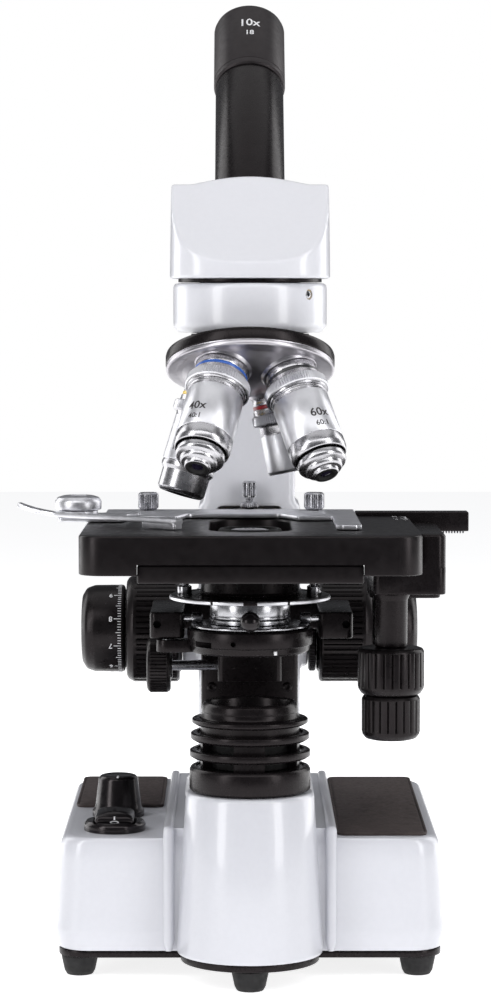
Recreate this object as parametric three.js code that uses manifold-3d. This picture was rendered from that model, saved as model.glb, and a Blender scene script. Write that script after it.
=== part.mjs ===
// Compound microscope with a 45 degree monocular head, a four-place nosepiece, a
// double-layer mechanical stage, a swing-out filter holder and a lamp in the base.
// Millimetres, +Z up, feet on Z = 0. X runs to the right seen from the front (the
// side away from the arm), Y runs back to the arm. Pieces are drawn about the optical
// axis (X = Y = 0) and moved by SHIFT_X, SHIFT_Y so that the box is centred.
import * as THREE from "three";
import Module from "manifold-3d";

const wasm = await Module();
wasm.setup();

// ---- dimensions --------------------------------------------------------------
const SHIFT_X = 2.25, SHIFT_Y = -41.65;
const GAP = 0.3; // between pieces that touch in the object
const ROUND = 0.56; // share of the nominal facet count used on turned pieces
const BASE = { x: 75, y0: 0, y1: 144, z0: 11, z1: 56, r: 12, topInset: 2.5, edge: 3.5, wall: 3.5, spineX: 28, spineZ: 59.5, bulgeR0: 28, bulgeR1: 24.4, bulgeZ: 73 };
const LAMP = { z0: 73.3, top: 107, band: 23 };
const ARM = { y0: 72, y1: 112, halfLow: 20.5, halfHigh: 18.4, stepZ: 177.5, ringR: 28.9, ringZ0: 246.7, ringZ1: 265.3 };
const FOCUS = { y: 88, z: 125.7, coarseR: 21.7, fineR: 17.7, x0: 27.3, x1: 49.7, x2: 68 };
const CARRIAGE = { x: 19.1, y0: 48, y1: 71.7, z0: 97, z1: 163.6 };
const STAGE = { x: 62.2, y0: -62, y1: 43, z0: 163.9, z1: 174.4, skirtZ: 159.9, notchX: 41, holeX: 15.3, holeY0: -42, holeY1: 30 };
const LOWER = { x: 40.3, y0: -60.5, y1: 47.7, z0: 157, z1: 163.5 };
const CTRL = { x: 53, y: -10 };
const TURRET = { tilt: (20.5 * Math.PI) / 180, apexZ: 273.1, rimR: 31.5, top: 36.5, rim: 43.5, dome: 51 };
const ROCKER_TILT = 6; // degrees, the off side pressed
const CLICK_OFFSET = 35; // degrees from the nearest click
const TUBE = { z: 282.6, seam: 83.6, end: 119.4, r: 13.3, headR: 14 };

// ---- helpers -----------------------------------------------------------------
const V3 = (x, y, z) => new THREE.Vector3(x, y, z);

// Welds a geometry into a closed solid, turned so that its faces point out.
function solid(g) {
  const s = g.index ? g.toNonIndexed() : g, p = s.getAttribute("position").array;
  const ids = new Map(), verts = [], tris = [];
  const id = (i) => {
    const k = [0, 1, 2].map((c) => Math.round(p[i * 3 + c] * 2e3)).join();
    if (!ids.has(k)) { ids.set(k, verts.length / 3); verts.push(p[i * 3], p[i * 3 + 1], p[i * 3 + 2]); }
    return ids.get(k);
  };
  for (let i = 0; i < p.length / 3; i += 3) {
    const a = id(i), b = id(i + 1), c = id(i + 2);
    if (a !== b && b !== c && a !== c) tris.push(a, b, c);
  }
  const make = (t) => new wasm.Manifold(new wasm.Mesh({ numProp: 3, vertProperties: new Float32Array(verts), triVerts: new Uint32Array(t) }));
  const m = make(tris);
  if (m.volume() > 0) return m;
  for (let i = 0; i < tris.length; i += 3) [tris[i + 1], tris[i + 2]] = [tris[i + 2], tris[i + 1]];
  return make(tris);
}
function geo(m) {
  const e = m.getMesh(), n = e.numProp, v = new Float32Array(e.numVert * 3);
  for (let i = 0; i < e.numVert; i++) v.set(e.vertProperties.subarray(i * n, i * n + 3), i * 3);
  const g = new THREE.BufferGeometry();
  g.setAttribute("position", new THREE.BufferAttribute(v, 3));
  g.setIndex(new THREE.BufferAttribute(new Uint32Array(e.triVerts), 1));
  return g.toNonIndexed();
}
const join = (...g) => geo(g.slice(1).reduce((a, b) => a.add(solid(b)), solid(g[0])));
const cut = (a, ...g) => geo(g.reduce((m, b) => m.subtract(solid(b)), solid(a)));
const common = (a, b) => geo(solid(a).intersect(solid(b)));

// Closed loops of the same count, joined ring to ring and capped.
function loft(rings) {
  const n = rings[0].length, pos = [];
  const put = (...v) => v.forEach((q) => pos.push(q.x, q.y, q.z));
  for (let k = 0; k + 1 < rings.length; k++)
    for (let i = 0; i < n; i++) {
      const j = (i + 1) % n, a = rings[k][i], b = rings[k][j], c = rings[k + 1][j], d = rings[k + 1][i];
      put(a, b, c); put(a, c, d);
    }
  for (const [ring, flip] of [[rings[0], true], [rings[rings.length - 1], false]]) {
    const flat = ring.map((q) => new THREE.Vector2(q.x, q.y));
    for (const [a, b, c] of THREE.ShapeUtils.triangulateShape(flat, []))
      flip ? put(ring[a], ring[c], ring[b]) : put(ring[a], ring[b], ring[c]);
  }
  const g = new THREE.BufferGeometry();
  g.setAttribute("position", new THREE.BufferAttribute(new Float32Array(pos), 3));
  return g;
}
// Loop of a rounded rectangle at height z.
function rectRing(x0, x1, y0, y1, r, z, seg = 5) {
  const out = [];
  for (const [cx, cy, a0] of [[x1 - r, y0 + r, -90], [x1 - r, y1 - r, 0], [x0 + r, y1 - r, 90], [x0 + r, y0 + r, 180]])
    for (let i = 0; i <= seg; i++) {
      const a = ((a0 + (90 * i) / seg) * Math.PI) / 180;
      out.push(V3(cx + r * Math.cos(a), cy + r * Math.sin(a), z));
    }
  return out;
}
// Upright rounded box, with its top and bottom edges broken by e.
function box(x0, x1, y0, y1, z0, z1, r = 0, e = 0, seg = 4) {
  if (!r) r = 0.01;
  if (r === 0.01) {
    const g = new THREE.BoxGeometry(x1 - x0, y1 - y0, z1 - z0);
    return g.translate((x0 + x1) / 2, (y0 + y1) / 2, (z0 + z1) / 2).toNonIndexed();
  }
  const ring = (i, z) => rectRing(x0 + i, x1 - i, y0 + i, y1 - i, Math.max(r - i, 0.05), z, seg);
  const rings = e ? [ring(e, z0), ring(0, z0 + e), ring(0, z1 - e), ring(e, z1)] : [ring(0, z0), ring(0, z1)];
  return loft(rings);
}
// Solid of revolution about +Z through the origin; a profile off the axis is closed on itself.
function lathe(pts, seg = 32) {
  const p = pts.map(([r, z]) => new THREE.Vector2(Math.max(r, 0), z));
  const onAxis = p[0].x < 1e-6 && p[p.length - 1].x < 1e-6;
  if (!onAxis) p.push(p[0].clone());
  return new THREE.LatheGeometry(p, Math.max(10, 2 * Math.round(seg * ROUND / 2))).rotateX(Math.PI / 2);
}
// Plain rod from z0 to z1.
const rod = (r, z0, z1, seg = 24) => lathe([[0, z0], [r, z0], [r, z1], [0, z1]], seg);
const tubeOf = (ri, ro, z0, z1, seg = 32) => lathe([[ri, z0], [ro, z0], [ro, z1], [ri, z1]], seg);
const at = (g, x, y, z) => g.clone().translate(x, y, z);
// Moves a piece drawn along +Z onto the axis that leaves "from" in direction "dir".
function along(g, from, dir) {
  const q = new THREE.Quaternion().setFromUnitVectors(V3(0, 0, 1), dir.clone().normalize());
  return g.clone().applyMatrix4(new THREE.Matrix4().compose(from, q, V3(1, 1, 1)));
}
const alongX = (g, y, z) => along(g, V3(0, y, z), V3(1, 0, 0));
// Extrudes a side profile, given as (Y, Z), over X from -half to +half.
function side(shape, half, bevel = 0, steps = 2, curve = 8) {
  const g = new THREE.ExtrudeGeometry(shape, { depth: 2 * (half - bevel), bevelEnabled: bevel > 0, bevelSize: bevel, bevelThickness: bevel, bevelOffset: -bevel, bevelSegments: steps, curveSegments: curve });
  g.translate(0, 0, -(half - bevel));
  return g.applyMatrix4(new THREE.Matrix4().makeBasis(V3(0, 1, 0), V3(0, 0, 1), V3(1, 0, 0)));
}
const poly = (pts) => new THREE.Shape(pts.map(([a, b]) => new THREE.Vector2(a, b)));
// Flat bar with round ends between two points.
function bar(a, b, w, z0, z1) {
  const s = new THREE.Shape(), t = Math.atan2(b[1] - a[1], b[0] - a[0]);
  s.absarc(b[0], b[1], w / 2, t - Math.PI / 2, t + Math.PI / 2, false);
  s.absarc(a[0], a[1], w / 2, t + Math.PI / 2, t + 1.5 * Math.PI, false);
  const g = new THREE.ExtrudeGeometry(s, { depth: z1 - z0, bevelEnabled: false, curveSegments: 3 });
  return g.translate(0, 0, z0);
}

const group = new THREE.Group();
group.name = "microscope";
function add(name, geometry, color, roughness = 0.5, metalness = 0) {
  const g = (geometry.index ? geometry.toNonIndexed() : geometry.clone()).translate(SHIFT_X, SHIFT_Y, 0);
  g.deleteAttribute("uv"); g.deleteAttribute("normal"); g.computeVertexNormals();
  const m = new THREE.Mesh(g, new THREE.MeshStandardMaterial({ color, roughness, metalness }));
  m.name = name;
  group.add(m);
}
const WHITE = 0xe2e4ee, BLACK = 0x1e1b1e, RUBBER = 0x423836, STEEL = 0xc9cbd0, CHROME = 0xdfe2e8, ALU = 0xb8bac0, GLASS = 0xbcd4e0, BRASS = 0xb89a5a;

// ---- base ----------------------------------------------------------------------
{
  const B = BASE, rings = [];
  const rr = (i, z, r) => rectRing(-B.x + i, B.x - i, B.y0 + i * 0.3, B.y1 - i, r, z, 6);
  rings.push(rr(0, B.z0, B.r));
  rings.push(rr(B.topInset * 0.9, B.z1 - B.edge, B.r));
  for (const a of [30, 60, 90]) {
    const t = (a * Math.PI) / 180;
    rings.push(rr(B.topInset + B.edge * (1 - Math.cos(t)), B.z1 - B.edge * (1 - Math.sin(t)), B.r));
  }
  const bulge = lathe([[0, B.z0], [B.bulgeR0, B.z0], [B.bulgeR1 + 0.15, B.bulgeZ - 1.2], [B.bulgeR1 - 0.9, B.bulgeZ], [0, B.bulgeZ]], 48);
  const spine = loft([rectRing(-B.spineX - 1, B.spineX + 1, 6, 142, 6, 40, 4), rectRing(-B.spineX - 1, B.spineX + 1, 6, 142, 6, B.spineZ - 2, 4), rectRing(-B.spineX + 1, B.spineX - 1, 8, 140, 5, B.spineZ, 4)]);
  let g = join(loft(rings), spine, bulge);
  const w = B.wall;
  g = cut(g,
    loft([rectRing(-B.x + w, B.x - w, B.y0 + w, B.y1 - w, B.r - 2, B.z0 - 1, 4), rectRing(-B.x + w + 2.5, B.x - w - 2.5, B.y0 + w + 1, B.y1 - w - 2.5, B.r - 3, B.z1 - w, 4)]),
    rod(B.bulgeR1 - 3.5, B.z0 - 1, B.bulgeZ - 3.5, 32),
    at(rod(11, 40, 60), -52.2, 20, 0), at(rod(3.4, 40, 60, 16), -52, 51, 0),
    rod(5, 60, 80, 16),
    along(rod(5.8, -8, 8), V3(22, 144, 30), V3(0, 1, 0)));
  add("base_housing", g, WHITE, 0.25);
  add("base_plate", join(box(-B.x + 1.5, B.x - 1.5, 1.5, B.y1 - 1.5, 8, B.z0 - GAP, 10.5), rod(B.bulgeR0 - 1.5, 8, B.z0 - GAP, 40)), BLACK, 0.6);
  const foot = lathe([[0, 0], [4.8, 0], [5.25, 0.5], [7, 7.7], [0, 7.7]], 20);
  for (const [n, x, y] of [["front", 0, -18], ["left", -65.5, 12], ["right", 64.5, 12], ["rear_left", -62, 130], ["rear_right", 62, 130]])
    add("foot_" + n, at(foot, x, y, 0), 0x151416, 0.8);
  add("pad_right", box(33, 68, 14, 136, 56 + GAP, 57.3, 3.5, 0.3), RUBBER, 0.85);
  add("pad_left", box(-69, -33.5, 67.5, 137, 56 + GAP, 57.3, 3.5, 0.3), RUBBER, 0.85);
  add("power_inlet", along(lathe([[2.6, -8], [5.5, -8], [5.5, 0.3], [7.2, 0.3], [7.2, 1.3], [2.6, 1.3]], 24), V3(22, 144, 30), V3(0, 1, 0)), BLACK, 0.5);
  // round rocker switch: body with a bezel, and the paddle that rocks in it
  const body = lathe([[0, 42], [10.6, 42], [10.6, 56.3], [11.9, 56.3], [11.9, 57.6], [10.9, 58.4], [0, 58.4]], 32);
  add("switch_body", at(cut(body, box(-8, 8, -8.6, 8.6, 45, 60)), -52.2, 20, 0), BLACK, 0.35);
  const paddle = loft([rectRing(-7.6, 7.6, -6.6, 6.6, 1, 48.5, 2), rectRing(-7.6, 7.6, -6.8, 6.8, 1, 58.2, 2), rectRing(-7.4, 7.4, -6.6, 6.6, 1, 60.4, 2), rectRing(-6.2, 6.2, -5.8, 5.8, 1, 61.9, 2), rectRing(-4, 4, -4.6, 4.6, 1, 62.7, 2)]);
  add("switch_rocker", at(at(paddle, 0, 0, -54).rotateX((ROCKER_TILT * Math.PI) / 180), -52.2, 20, 54), BLACK, 0.3);
  add("brightness_knob", at(lathe([[0, 44], [3, 44], [3, 56.4], [10.25, 56.4], [10.25, 58], [9.2, 58.6], [7.7, 70.3], [6.8, 71.3], [0, 71.3]], 28), -52, 51, 0), BLACK, 0.25);
}

// ---- lamp ----------------------------------------------------------------------
{
  add("lamp_housing", lathe([
    [4, 73.3], [22.6, 73.3], [23, 73.8], [23, 82], [22.6, 82.5], [19.6, 82.5], [19.6, 85.6], [22.9, 85.6], [22.9, 88.9], [19.2, 88.9], [19.2, 92.2],
    [22.5, 92.2], [22.5, 95.4], [18.9, 95.4], [18.6, 98.4], [22, 98.4], [22, 100.9], [18.6, 100.9], [18, 106.2], [17.2, 107], [15.6, 107], [15.4, 99.2], [13.4, 99.2], [13.4, 78.5], [4, 78.5],
  ], 40), BLACK, 0.45);
  add("lamp_lens", lathe([[0, 99.5], [15, 99.5], [15, 101.2], [12, 102.8], [7, 104], [0, 104.4]], 28), GLASS, 0.05);
  add("led_board", lathe([[0, 78.8], [12, 78.8], [12, 80.4], [4, 80.4], [3.6, 82.2], [2.4, 83.6], [0, 84]], 24), 0x3f6b4c, 0.5);
}

// ---- arm -----------------------------------------------------------------------
const clampDir = V3(21.9, -18.9, 0).normalize();
{
  const A = ARM, s = new THREE.Shape();
  s.moveTo(A.y0, 150); s.lineTo(A.y1, 150); s.lineTo(A.y1 - 0.5, 190);
  s.bezierCurveTo(A.y1 - 2, 242, 82, 264.5, 36, 264.8);
  s.lineTo(4, 264.8); s.lineTo(4, 248); s.lineTo(27, 248);
  s.bezierCurveTo(56, 247, A.y0, 236, A.y0, 206);
  s.lineTo(A.y0, 150);
  const upper = side(s, A.halfHigh, 3, 2, 10);
  const lower = loft([
    rectRing(-27.5, 27.5, A.y0 - 7, A.y1 + 12, 7, 59.8, 4), rectRing(-24.6, 24.6, A.y0 - 3.5, A.y1 + 6, 6, 62.5, 4), rectRing(-22.2, 22.2, A.y0 - 1.4, A.y1 + 2, 5, 67, 4), rectRing(-21, 21, A.y0 - 0.3, A.y1 + 0.5, 4, 75, 4),
    rectRing(-A.halfLow, A.halfLow, A.y0, A.y1, 4, 85, 4), rectRing(-A.halfLow, A.halfLow, A.y0, A.y1, 4, A.stepZ - 1, 4), rectRing(-A.halfHigh - 0.6, A.halfHigh + 0.6, A.y0 + 0.6, A.y1 - 0.6, 4, A.stepZ, 4),
  ]);
  const ring = lathe([[0, A.ringZ0], [A.ringR - 2, A.ringZ0], [A.ringR, A.ringZ0 + 2.2], [A.ringR, A.ringZ1 - 0.6], [A.ringR - 0.6, A.ringZ1], [0, A.ringZ1]], 48);
  const bossL = alongX(rod(15.5, -26.9, -19), FOCUS.y, FOCUS.z), bossR = alongX(rod(15.5, 19, 23.7), FOCUS.y, FOCUS.z), spigot = alongX(rod(9, 19, 26.9), FOCUS.y, FOCUS.z);
  let g = join(upper, lower, ring, bossL, bossR, spigot);
  g = cut(g,
    rod(12, 240, 270), rod(19.4, 255.5, 270, 32),
    box(-12.5, 12.5, A.y0 - 1, A.y0 + 28, 90, 176.5),
    alongX(rod(5.6, -32, 32), FOCUS.y, FOCUS.z),
    along(rod(1.9, 17, 32, 12), V3(0, 0, 261), clampDir));
  add("arm", g, WHITE, 0.25);
  add("head_clamp_screw", along(cut(rod(1.55, 20.2, 28.7, 12), rod(0.8, 26.5, 30, 6)), V3(0, 0, 261), clampDir), BRASS, 0.35, 1);
}

// ---- focus drive: hollow coarse shaft with the fine shaft inside it ---------------------
{
  const F = FOCUS, R = F.coarseR, r = F.fineR;
  const coarse = (bore) => [[bore, F.x0], [R - 5, F.x0], [R - 3.6, F.x0 + 1], [R - 0.6, F.x0 + 1], [R, F.x0 + 1.8], [R, F.x1 - 2.4], [R - 1.2, F.x1 - 0.4], [R - 2.4, F.x1], [bore, F.x1]];
  const fine = [[r - 2.4, F.x1 + GAP], [r - 0.4, F.x1 + GAP + 0.6], [r, F.x1 + 2], [r, F.x2 - 3.4], [r - 1, F.x2 - 1.6], [r - 3.2, F.x2 - 0.4], [r - 6, F.x2], [0, F.x2]];
  const L = (g) => g.clone().rotateY(Math.PI); // the left-hand copy of a piece drawn towards +X side
  const knobL = L(lathe(coarse(3.5), 48));
  const sleeve = tubeOf(3.5, 5.2, -F.x1 + 4, F.x1 - 6, 24), pinion = tubeOf(3.5, 7, -7.5, 7.5, 24);
  add("coarse_knob_left", alongX(join(knobL, sleeve, pinion), F.y, F.z), BLACK, 0.4);
  add("coarse_knob_right", alongX(lathe(coarse(5.5), 48), F.y, F.z), BLACK, 0.4);
  const fl = L(lathe([[0, F.x1 + GAP], ...fine], 40));
  add("fine_knob_left", alongX(join(fl, rod(3.2, -F.x1 - 2, F.x1 + 9, 16)), F.y, F.z), BLACK, 0.4);
  add("fine_knob_right", alongX(cut(lathe([[0, F.x1 + GAP], ...fine], 40), rod(3.5, F.x1 - 2, F.x1 + 9.4, 16)), F.y, F.z), BLACK, 0.4);
  add("tension_collar", alongX(lathe([[9.3, 24], [17, 24], [17.4, 24.4], [17.4, 26.5], [17, 26.9], [9.3, 26.9]], 40), F.y, F.z), BLACK, 0.5);
}

// ---- focus rack and stage carriage ----------------------------------------------------
{
  const C = CARRIAGE, teeth = [];
  for (let z = 103; z < 160; z += 4) teeth.push([80.6, z], [80.6, z + 1.6], [79.2, z + 2.2], [79.2, z + 3.6]);
  add("focus_rack", side(poly([[C.y1 + GAP, 100], [79.2, 100], ...teeth, [79.2, 163], [C.y1 + GAP, 163]]), 8), STEEL, 0.4, 1);
  const plate = box(-C.x, C.x, C.y0, C.y1, C.z0, C.z1, 1.5, 0.8);
  // lug that carries the stop screw behind the stage, and two screw heads low on the front
  const lug = box(-6, 6, 63.3, C.y1, C.z1 - 2, 175.8, 1.5);
  const screws = join(plate, lug, ...[-15, 15].map((x) => along(lathe([[0, 0], [1.9, 0], [1.9, 1], [1.3, 1.7], [0, 1.7]], 14), V3(x, C.y0 + 0.5, 106.5), V3(0, -1, 0))));
  add("stage_carriage", cut(screws, at(rod(1.9, 168, 180, 12), 0, 67.4, 0)), BLACK, 0.45);
  add("stop_screw", at(lathe([[0, 169.5], [1.6, 169.5], [1.6, 180.2], [2.4, 180.2], [2.8, 180.7], [2.8, 186.4], [2.3, 187], [0, 187]], 20), 0, 67.4, 0), STEEL, 0.3, 1);
  add("stop_screw_nut", at(lathe([[1.9, 176.1], [3.2, 176.1], [3.5, 176.4], [3.5, 178.2], [3.2, 178.5], [1.9, 178.5]], 20), 0, 67.4, 0), STEEL, 0.3, 1);
  const L = LOWER;
  let low = box(-L.x, L.x, L.y0, L.y1, L.z0, L.z1, 4, 1);
  low = cut(low, rod(20, 150, 170, 32));
  add("stage_lower_plate", low, BLACK, 0.5);
}

// ---- upper stage plate, X/Y drive -------------------------------------------------------
{
  const S = STAGE;
  const top = box(-S.x, S.x, S.y0, S.y1, S.z0, S.z1, 8, 1.2);
  const skirts = box(-S.x, S.x, S.y0, S.y1, S.skirtZ, S.z0 + 2, 8);
  const hollow = join(box(-S.x + 5, S.x - 5, S.y0 + 4.5, S.y1 + 5, S.skirtZ - 1, S.z0, 3), box(-S.notchX, S.notchX, S.y0 - 5, S.y0 + 12, S.skirtZ - 1, S.z0, 0));
  const hole = box(-S.holeX, S.holeX, S.holeY0, S.holeY1, S.skirtZ - 2, S.z1 + 2, 14, 0, 6);
  add("stage_upper_plate", cut(join(top, skirts), hollow, hole), 0x2a2528, 0.55);
  const block = join(
    box(46, 73, -20, 43.5, 149.3, S.skirtZ - GAP, 3),
    box(62.2 + GAP, 73, -20, 43.5, 151, 172, 3),
    box(46, 73, 12, 43.5, 145, 155, 3),
    at(rod(6.3, 129, 152), CTRL.x, CTRL.y, 0));
  add("stage_drive_housing", cut(block, at(rod(5, 120, 150), CTRL.x, CTRL.y, 0)), BLACK, 0.45);
  add("stage_y_knob", at(lathe([[2.9, 111], [11, 111], [12.5, 113], [12.5, 127.6], [11.5, 128.7], [4.7, 128.7], [4.7, 149], [2.9, 149]], 36), CTRL.x, CTRL.y, 0), BLACK, 0.4);
  add("stage_x_knob", at(lathe([[0, 94], [8, 94], [10.4, 95.6], [11, 98], [11, 109.8], [10.2, 110.7], [2.6, 110.7], [2.6, 148.5], [0, 148.5]], 36), CTRL.x, CTRL.y, 0), BLACK, 0.4);
}

// ---- X slide with the specimen holder ----------------------------------------------------
{
  const railBody = join(box(-58, 42, 44, 53, 168.4, 174.5, 0), box(41.5, 86, 44, 53, 168.4, 176, 0));
  const notches = [];
  for (let x = 44; x < 84; x += 4) notches.push(box(x, x + 1.8, 43, 45, 167.5, 169.6, 0));
  add("x_rail", cut(railBody, ...notches), BLACK, 0.45);
  const z0 = 174.8, z1 = 176.5;
  const s = poly([[-73, 5], [-50, 5], [-47.5, 8], [-47.5, 24], [-42, 30], [-42, 13], [-28, 13], [-24, 28], [11.5, 28], [18.3, 13], [31.6, 13], [31.6, -33], [34, -36], [39, -36], [41, -34], [41, 53], [-56, 53], [-56, 34], [-68, 30], [-73, 22]]);
  const plate = new THREE.ExtrudeGeometry(s, { depth: z1 - z0, bevelEnabled: false }).translate(0, 0, z0);
  const bores = [[-39.8, 48], [25.4, 48], [-65.7, 15]].map(([x, y]) => at(rod(2.3, 170, 180, 12), x, y, 0));
  add("specimen_holder", cut(plate, ...bores), ALU, 0.35, 1);
  const thumb = lathe([[0, 174.8], [2, 174.8], [2, 176.8], [3.4, 176.8], [4, 177.4], [4, 183], [3.4, 183.6], [0, 183.6]], 20);
  add("holder_thumbscrew_left", at(thumb, -39.8, 48, 0), STEEL, 0.3, 1);
  add("holder_thumbscrew_right", at(thumb, 25.4, 48, 0), STEEL, 0.3, 1);
  let finger = join(bar([-73.5, 4.6], [-26, -35], 5.4, 176.9, 178.7), bar([-88, 9], [-73.5, 4.6], 5, 176.9, 178.7), bar([-70, 3], [-65.7, 15], 9, 176.9, 178.7), at(rod(7.5, 176.9, 178.7), -65.7, 15, 0), bar([-40, -23.3], [-26, -35], 5, 174.8, 177.6));
  add("slide_finger", cut(finger, at(rod(2.3, 170, 180, 12), -65.7, 15, 0)), ALU, 0.35, 1);
  add("finger_pivot_cap", at(lathe([[0, 174.8], [2, 174.8], [2, 179], [8.6, 179], [8.9, 179.4], [8.9, 183.6], [8, 184.5], [0, 184.5]], 28), -65.7, 15, 0), STEEL, 0.3, 1);
}

// ---- condenser --------------------------------------------------------------------------
{
  const arms = [-1, 1].map((k) => (k < 0 ? box(-38, -25, -2, 40, 131, 141, 2, 0.6) : box(26, 39, -2, 40, 131, 141, 2, 0.6)));
  const back = join(box(-38, 39, 36, 47.7, 130.8, 141, 2), box(-12.5, 12.5, 36, 47.7, 110, 135, 2));
  const c = cut(join(back, ...arms), alongX(rod(2.4, -40, -8, 16), 42, 115.9));
  add("condenser_carrier", c, BLACK, 0.45);
  add("condenser_head", lathe([[9, 146], [30.2, 146], [30.5, 146.3], [30.5, 147.2], [29.8, 147.8], [18.6, 148.6], [18.2, 156], [17.2, 162], [12.4, 163.7], [12.3, 172.2], [11.4, 172.8], [10.4, 172.8], [10.4, 170.2], [9, 170.2]], 44), 0x1b191b, 0.4);
  add("condenser_lens", lathe([[0, 170.5], [10.1, 170.5], [10.1, 171.6], [6, 172.6], [0, 173]], 24), GLASS, 0.05);
  add("condenser_cell", lathe([[9, 135.6], [22.3, 135.6], [22.6, 135.9], [22.6, 136.4], [22.3, 136.7], [10.6, 136.7], [10.6, 139], [15.2, 139], [15.2, 145.7], [9, 145.7]], 40), CHROME, 0.15, 1);
  add("iris_leaves", lathe([[3, 141.2], [8.7, 141.2], [8.7, 141.9], [3, 141.9]], 24), 0x2c2c30, 0.5, 1);
  const lever = join(tubeOf(10.9, 16.5, 137, 138.7, 32), along(rod(1.1, 15.7, 26, 10), V3(0, 0, 136), V3(0, -1, 0.13)), at(new THREE.SphereGeometry(3.75, 10, 7).rotateX(Math.PI / 2), 0, -28, 140));
  add("iris_lever", lever, BLACK, 0.35);
  const holder = join(lathe([[16.4, 127], [19, 126], [23.4, 126], [23.8, 126.4], [23.8, 134.8], [23.4, 135.2], [17.6, 135.2], [17.6, 129], [16.4, 129]], 40), bar([-31, 0], [-21, 0], 9, 126, 130.6));
  add("filter_holder", holder, BLACK, 0.4);
  add("condenser_knob", alongX(lathe([[0, -40.3], [9.4, -40.3], [10.7, -39], [10.7, -32], [10, -31], [2, -31], [2, -9], [0, -9]], 32), 42, 115.9), BLACK, 0.4);
}

// ---- nosepiece ---------------------------------------------------------------------------
const s20 = Math.sin(TURRET.tilt), c20 = Math.cos(TURRET.tilt);
const apex = V3(0, 0, TURRET.apexZ), turretDir = V3(0, -s20, -c20);
const lensDir = (deg) => {
  const f = (deg * Math.PI) / 180;
  return V3(s20 * Math.sin(f), -s20 * c20 + s20 * c20 * Math.cos(f), -c20 * c20 - Math.cos(f) * s20 * s20);
};
const LENSES = { "4x": CLICK_OFFSET, "60x": CLICK_OFFSET + 90, "40x": CLICK_OFFSET - 180, "10x": CLICK_OFFSET - 90 };
{
  const T = TURRET;
  const mount = common(along(rod(22, 12, T.top - GAP, 40), apex, turretDir), box(-40, 40, -60, 60, 200, ARM.ringZ0 - GAP));
  add("nosepiece_mount", cut(mount, rod(9, 200, 260)), BLACK, 0.45);
  const dome = [];
  for (const a of [28, 19, 10]) dome.push([T.dome * Math.sin((a * Math.PI) / 180), T.dome * Math.cos((a * Math.PI) / 180)]);
  let body = lathe([[0, T.top], [30.2, T.top], [31.5, T.top + 0.8], [31.5, T.top + 3.4], [30.6, T.top + 4], [31, T.top + 4.4], [31, T.rim - 0.5], [30.2, T.rim], [26.2, T.rim], ...dome, [0, T.dome]], 48);
  body = along(body, apex, turretDir);
  // flat seats that the objectives screw down onto
  body = join(body, ...Object.values(LENSES).map((f) => along(rod(10.4, 44, 51), apex, lensDir(f))));
  body = cut(body, ...Object.values(LENSES).map((f) => along(rod(8.2, 30, 60, 20), apex, lensDir(f))));
  add("nosepiece_turret", body, STEEL, 0.25, 1);

  const head = [[0, 45], [7.8, 45], [7.8, 51.3], [9.8, 51.3], [9.8, 53.9], [10, 53.9], [10, 55.1], [10.2, 55.3]];
  const high = [...head, [10.2, 57.3], [12, 57.7], [12, 61.2], [10.4, 61.6], [10, 62.4], [10.5, 63.2], [10.5, 80], [10.2, 80.4], [10.2, 85.6], [9.2, 87], [7.6, 87], [7.6, 78], [0, 78]];
  const nose = [[0, 80.8], [7.25, 80.8], [7.25, 90.4], [6.6, 91.2], [5.1, 91.6], [5.1, 95.6], [4.4, 96.3], [0, 96.3]];
  for (const k of ["40x", "60x"]) {
    add("objective_" + k, along(lathe(high, 32), apex, lensDir(LENSES[k])), ALU, 0.3, 1);
    add("objective_" + k + "_nose", along(lathe(nose, 28), apex, lensDir(LENSES[k])), CHROME, 0.2, 1);
  }
  add("objective_10x", along(lathe([...head, [10.2, 57.3], [12, 57.7], [12, 61.2], [10.4, 61.6], [10, 62.4], [10.2, 63.2], [10.2, 81], [9.2, 83], [9, 90.6], [8.2, 91.5], [5.4, 91.5], [5.4, 90], [0, 90]], 32), apex, lensDir(LENSES["10x"])), ALU, 0.3, 1);
  add("objective_4x", along(lathe([...head, [10.2, 57.3], [11.2, 57.7], [11.2, 61.4], [9.4, 61.8], [9.2, 65], [9.4, 65.4], [9.4, 79.4], [8.8, 80.4], [6, 80.4], [6, 78.6], [0, 78.6]], 32), apex, lensDir(LENSES["4x"])), ALU, 0.3, 1);
}

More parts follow.
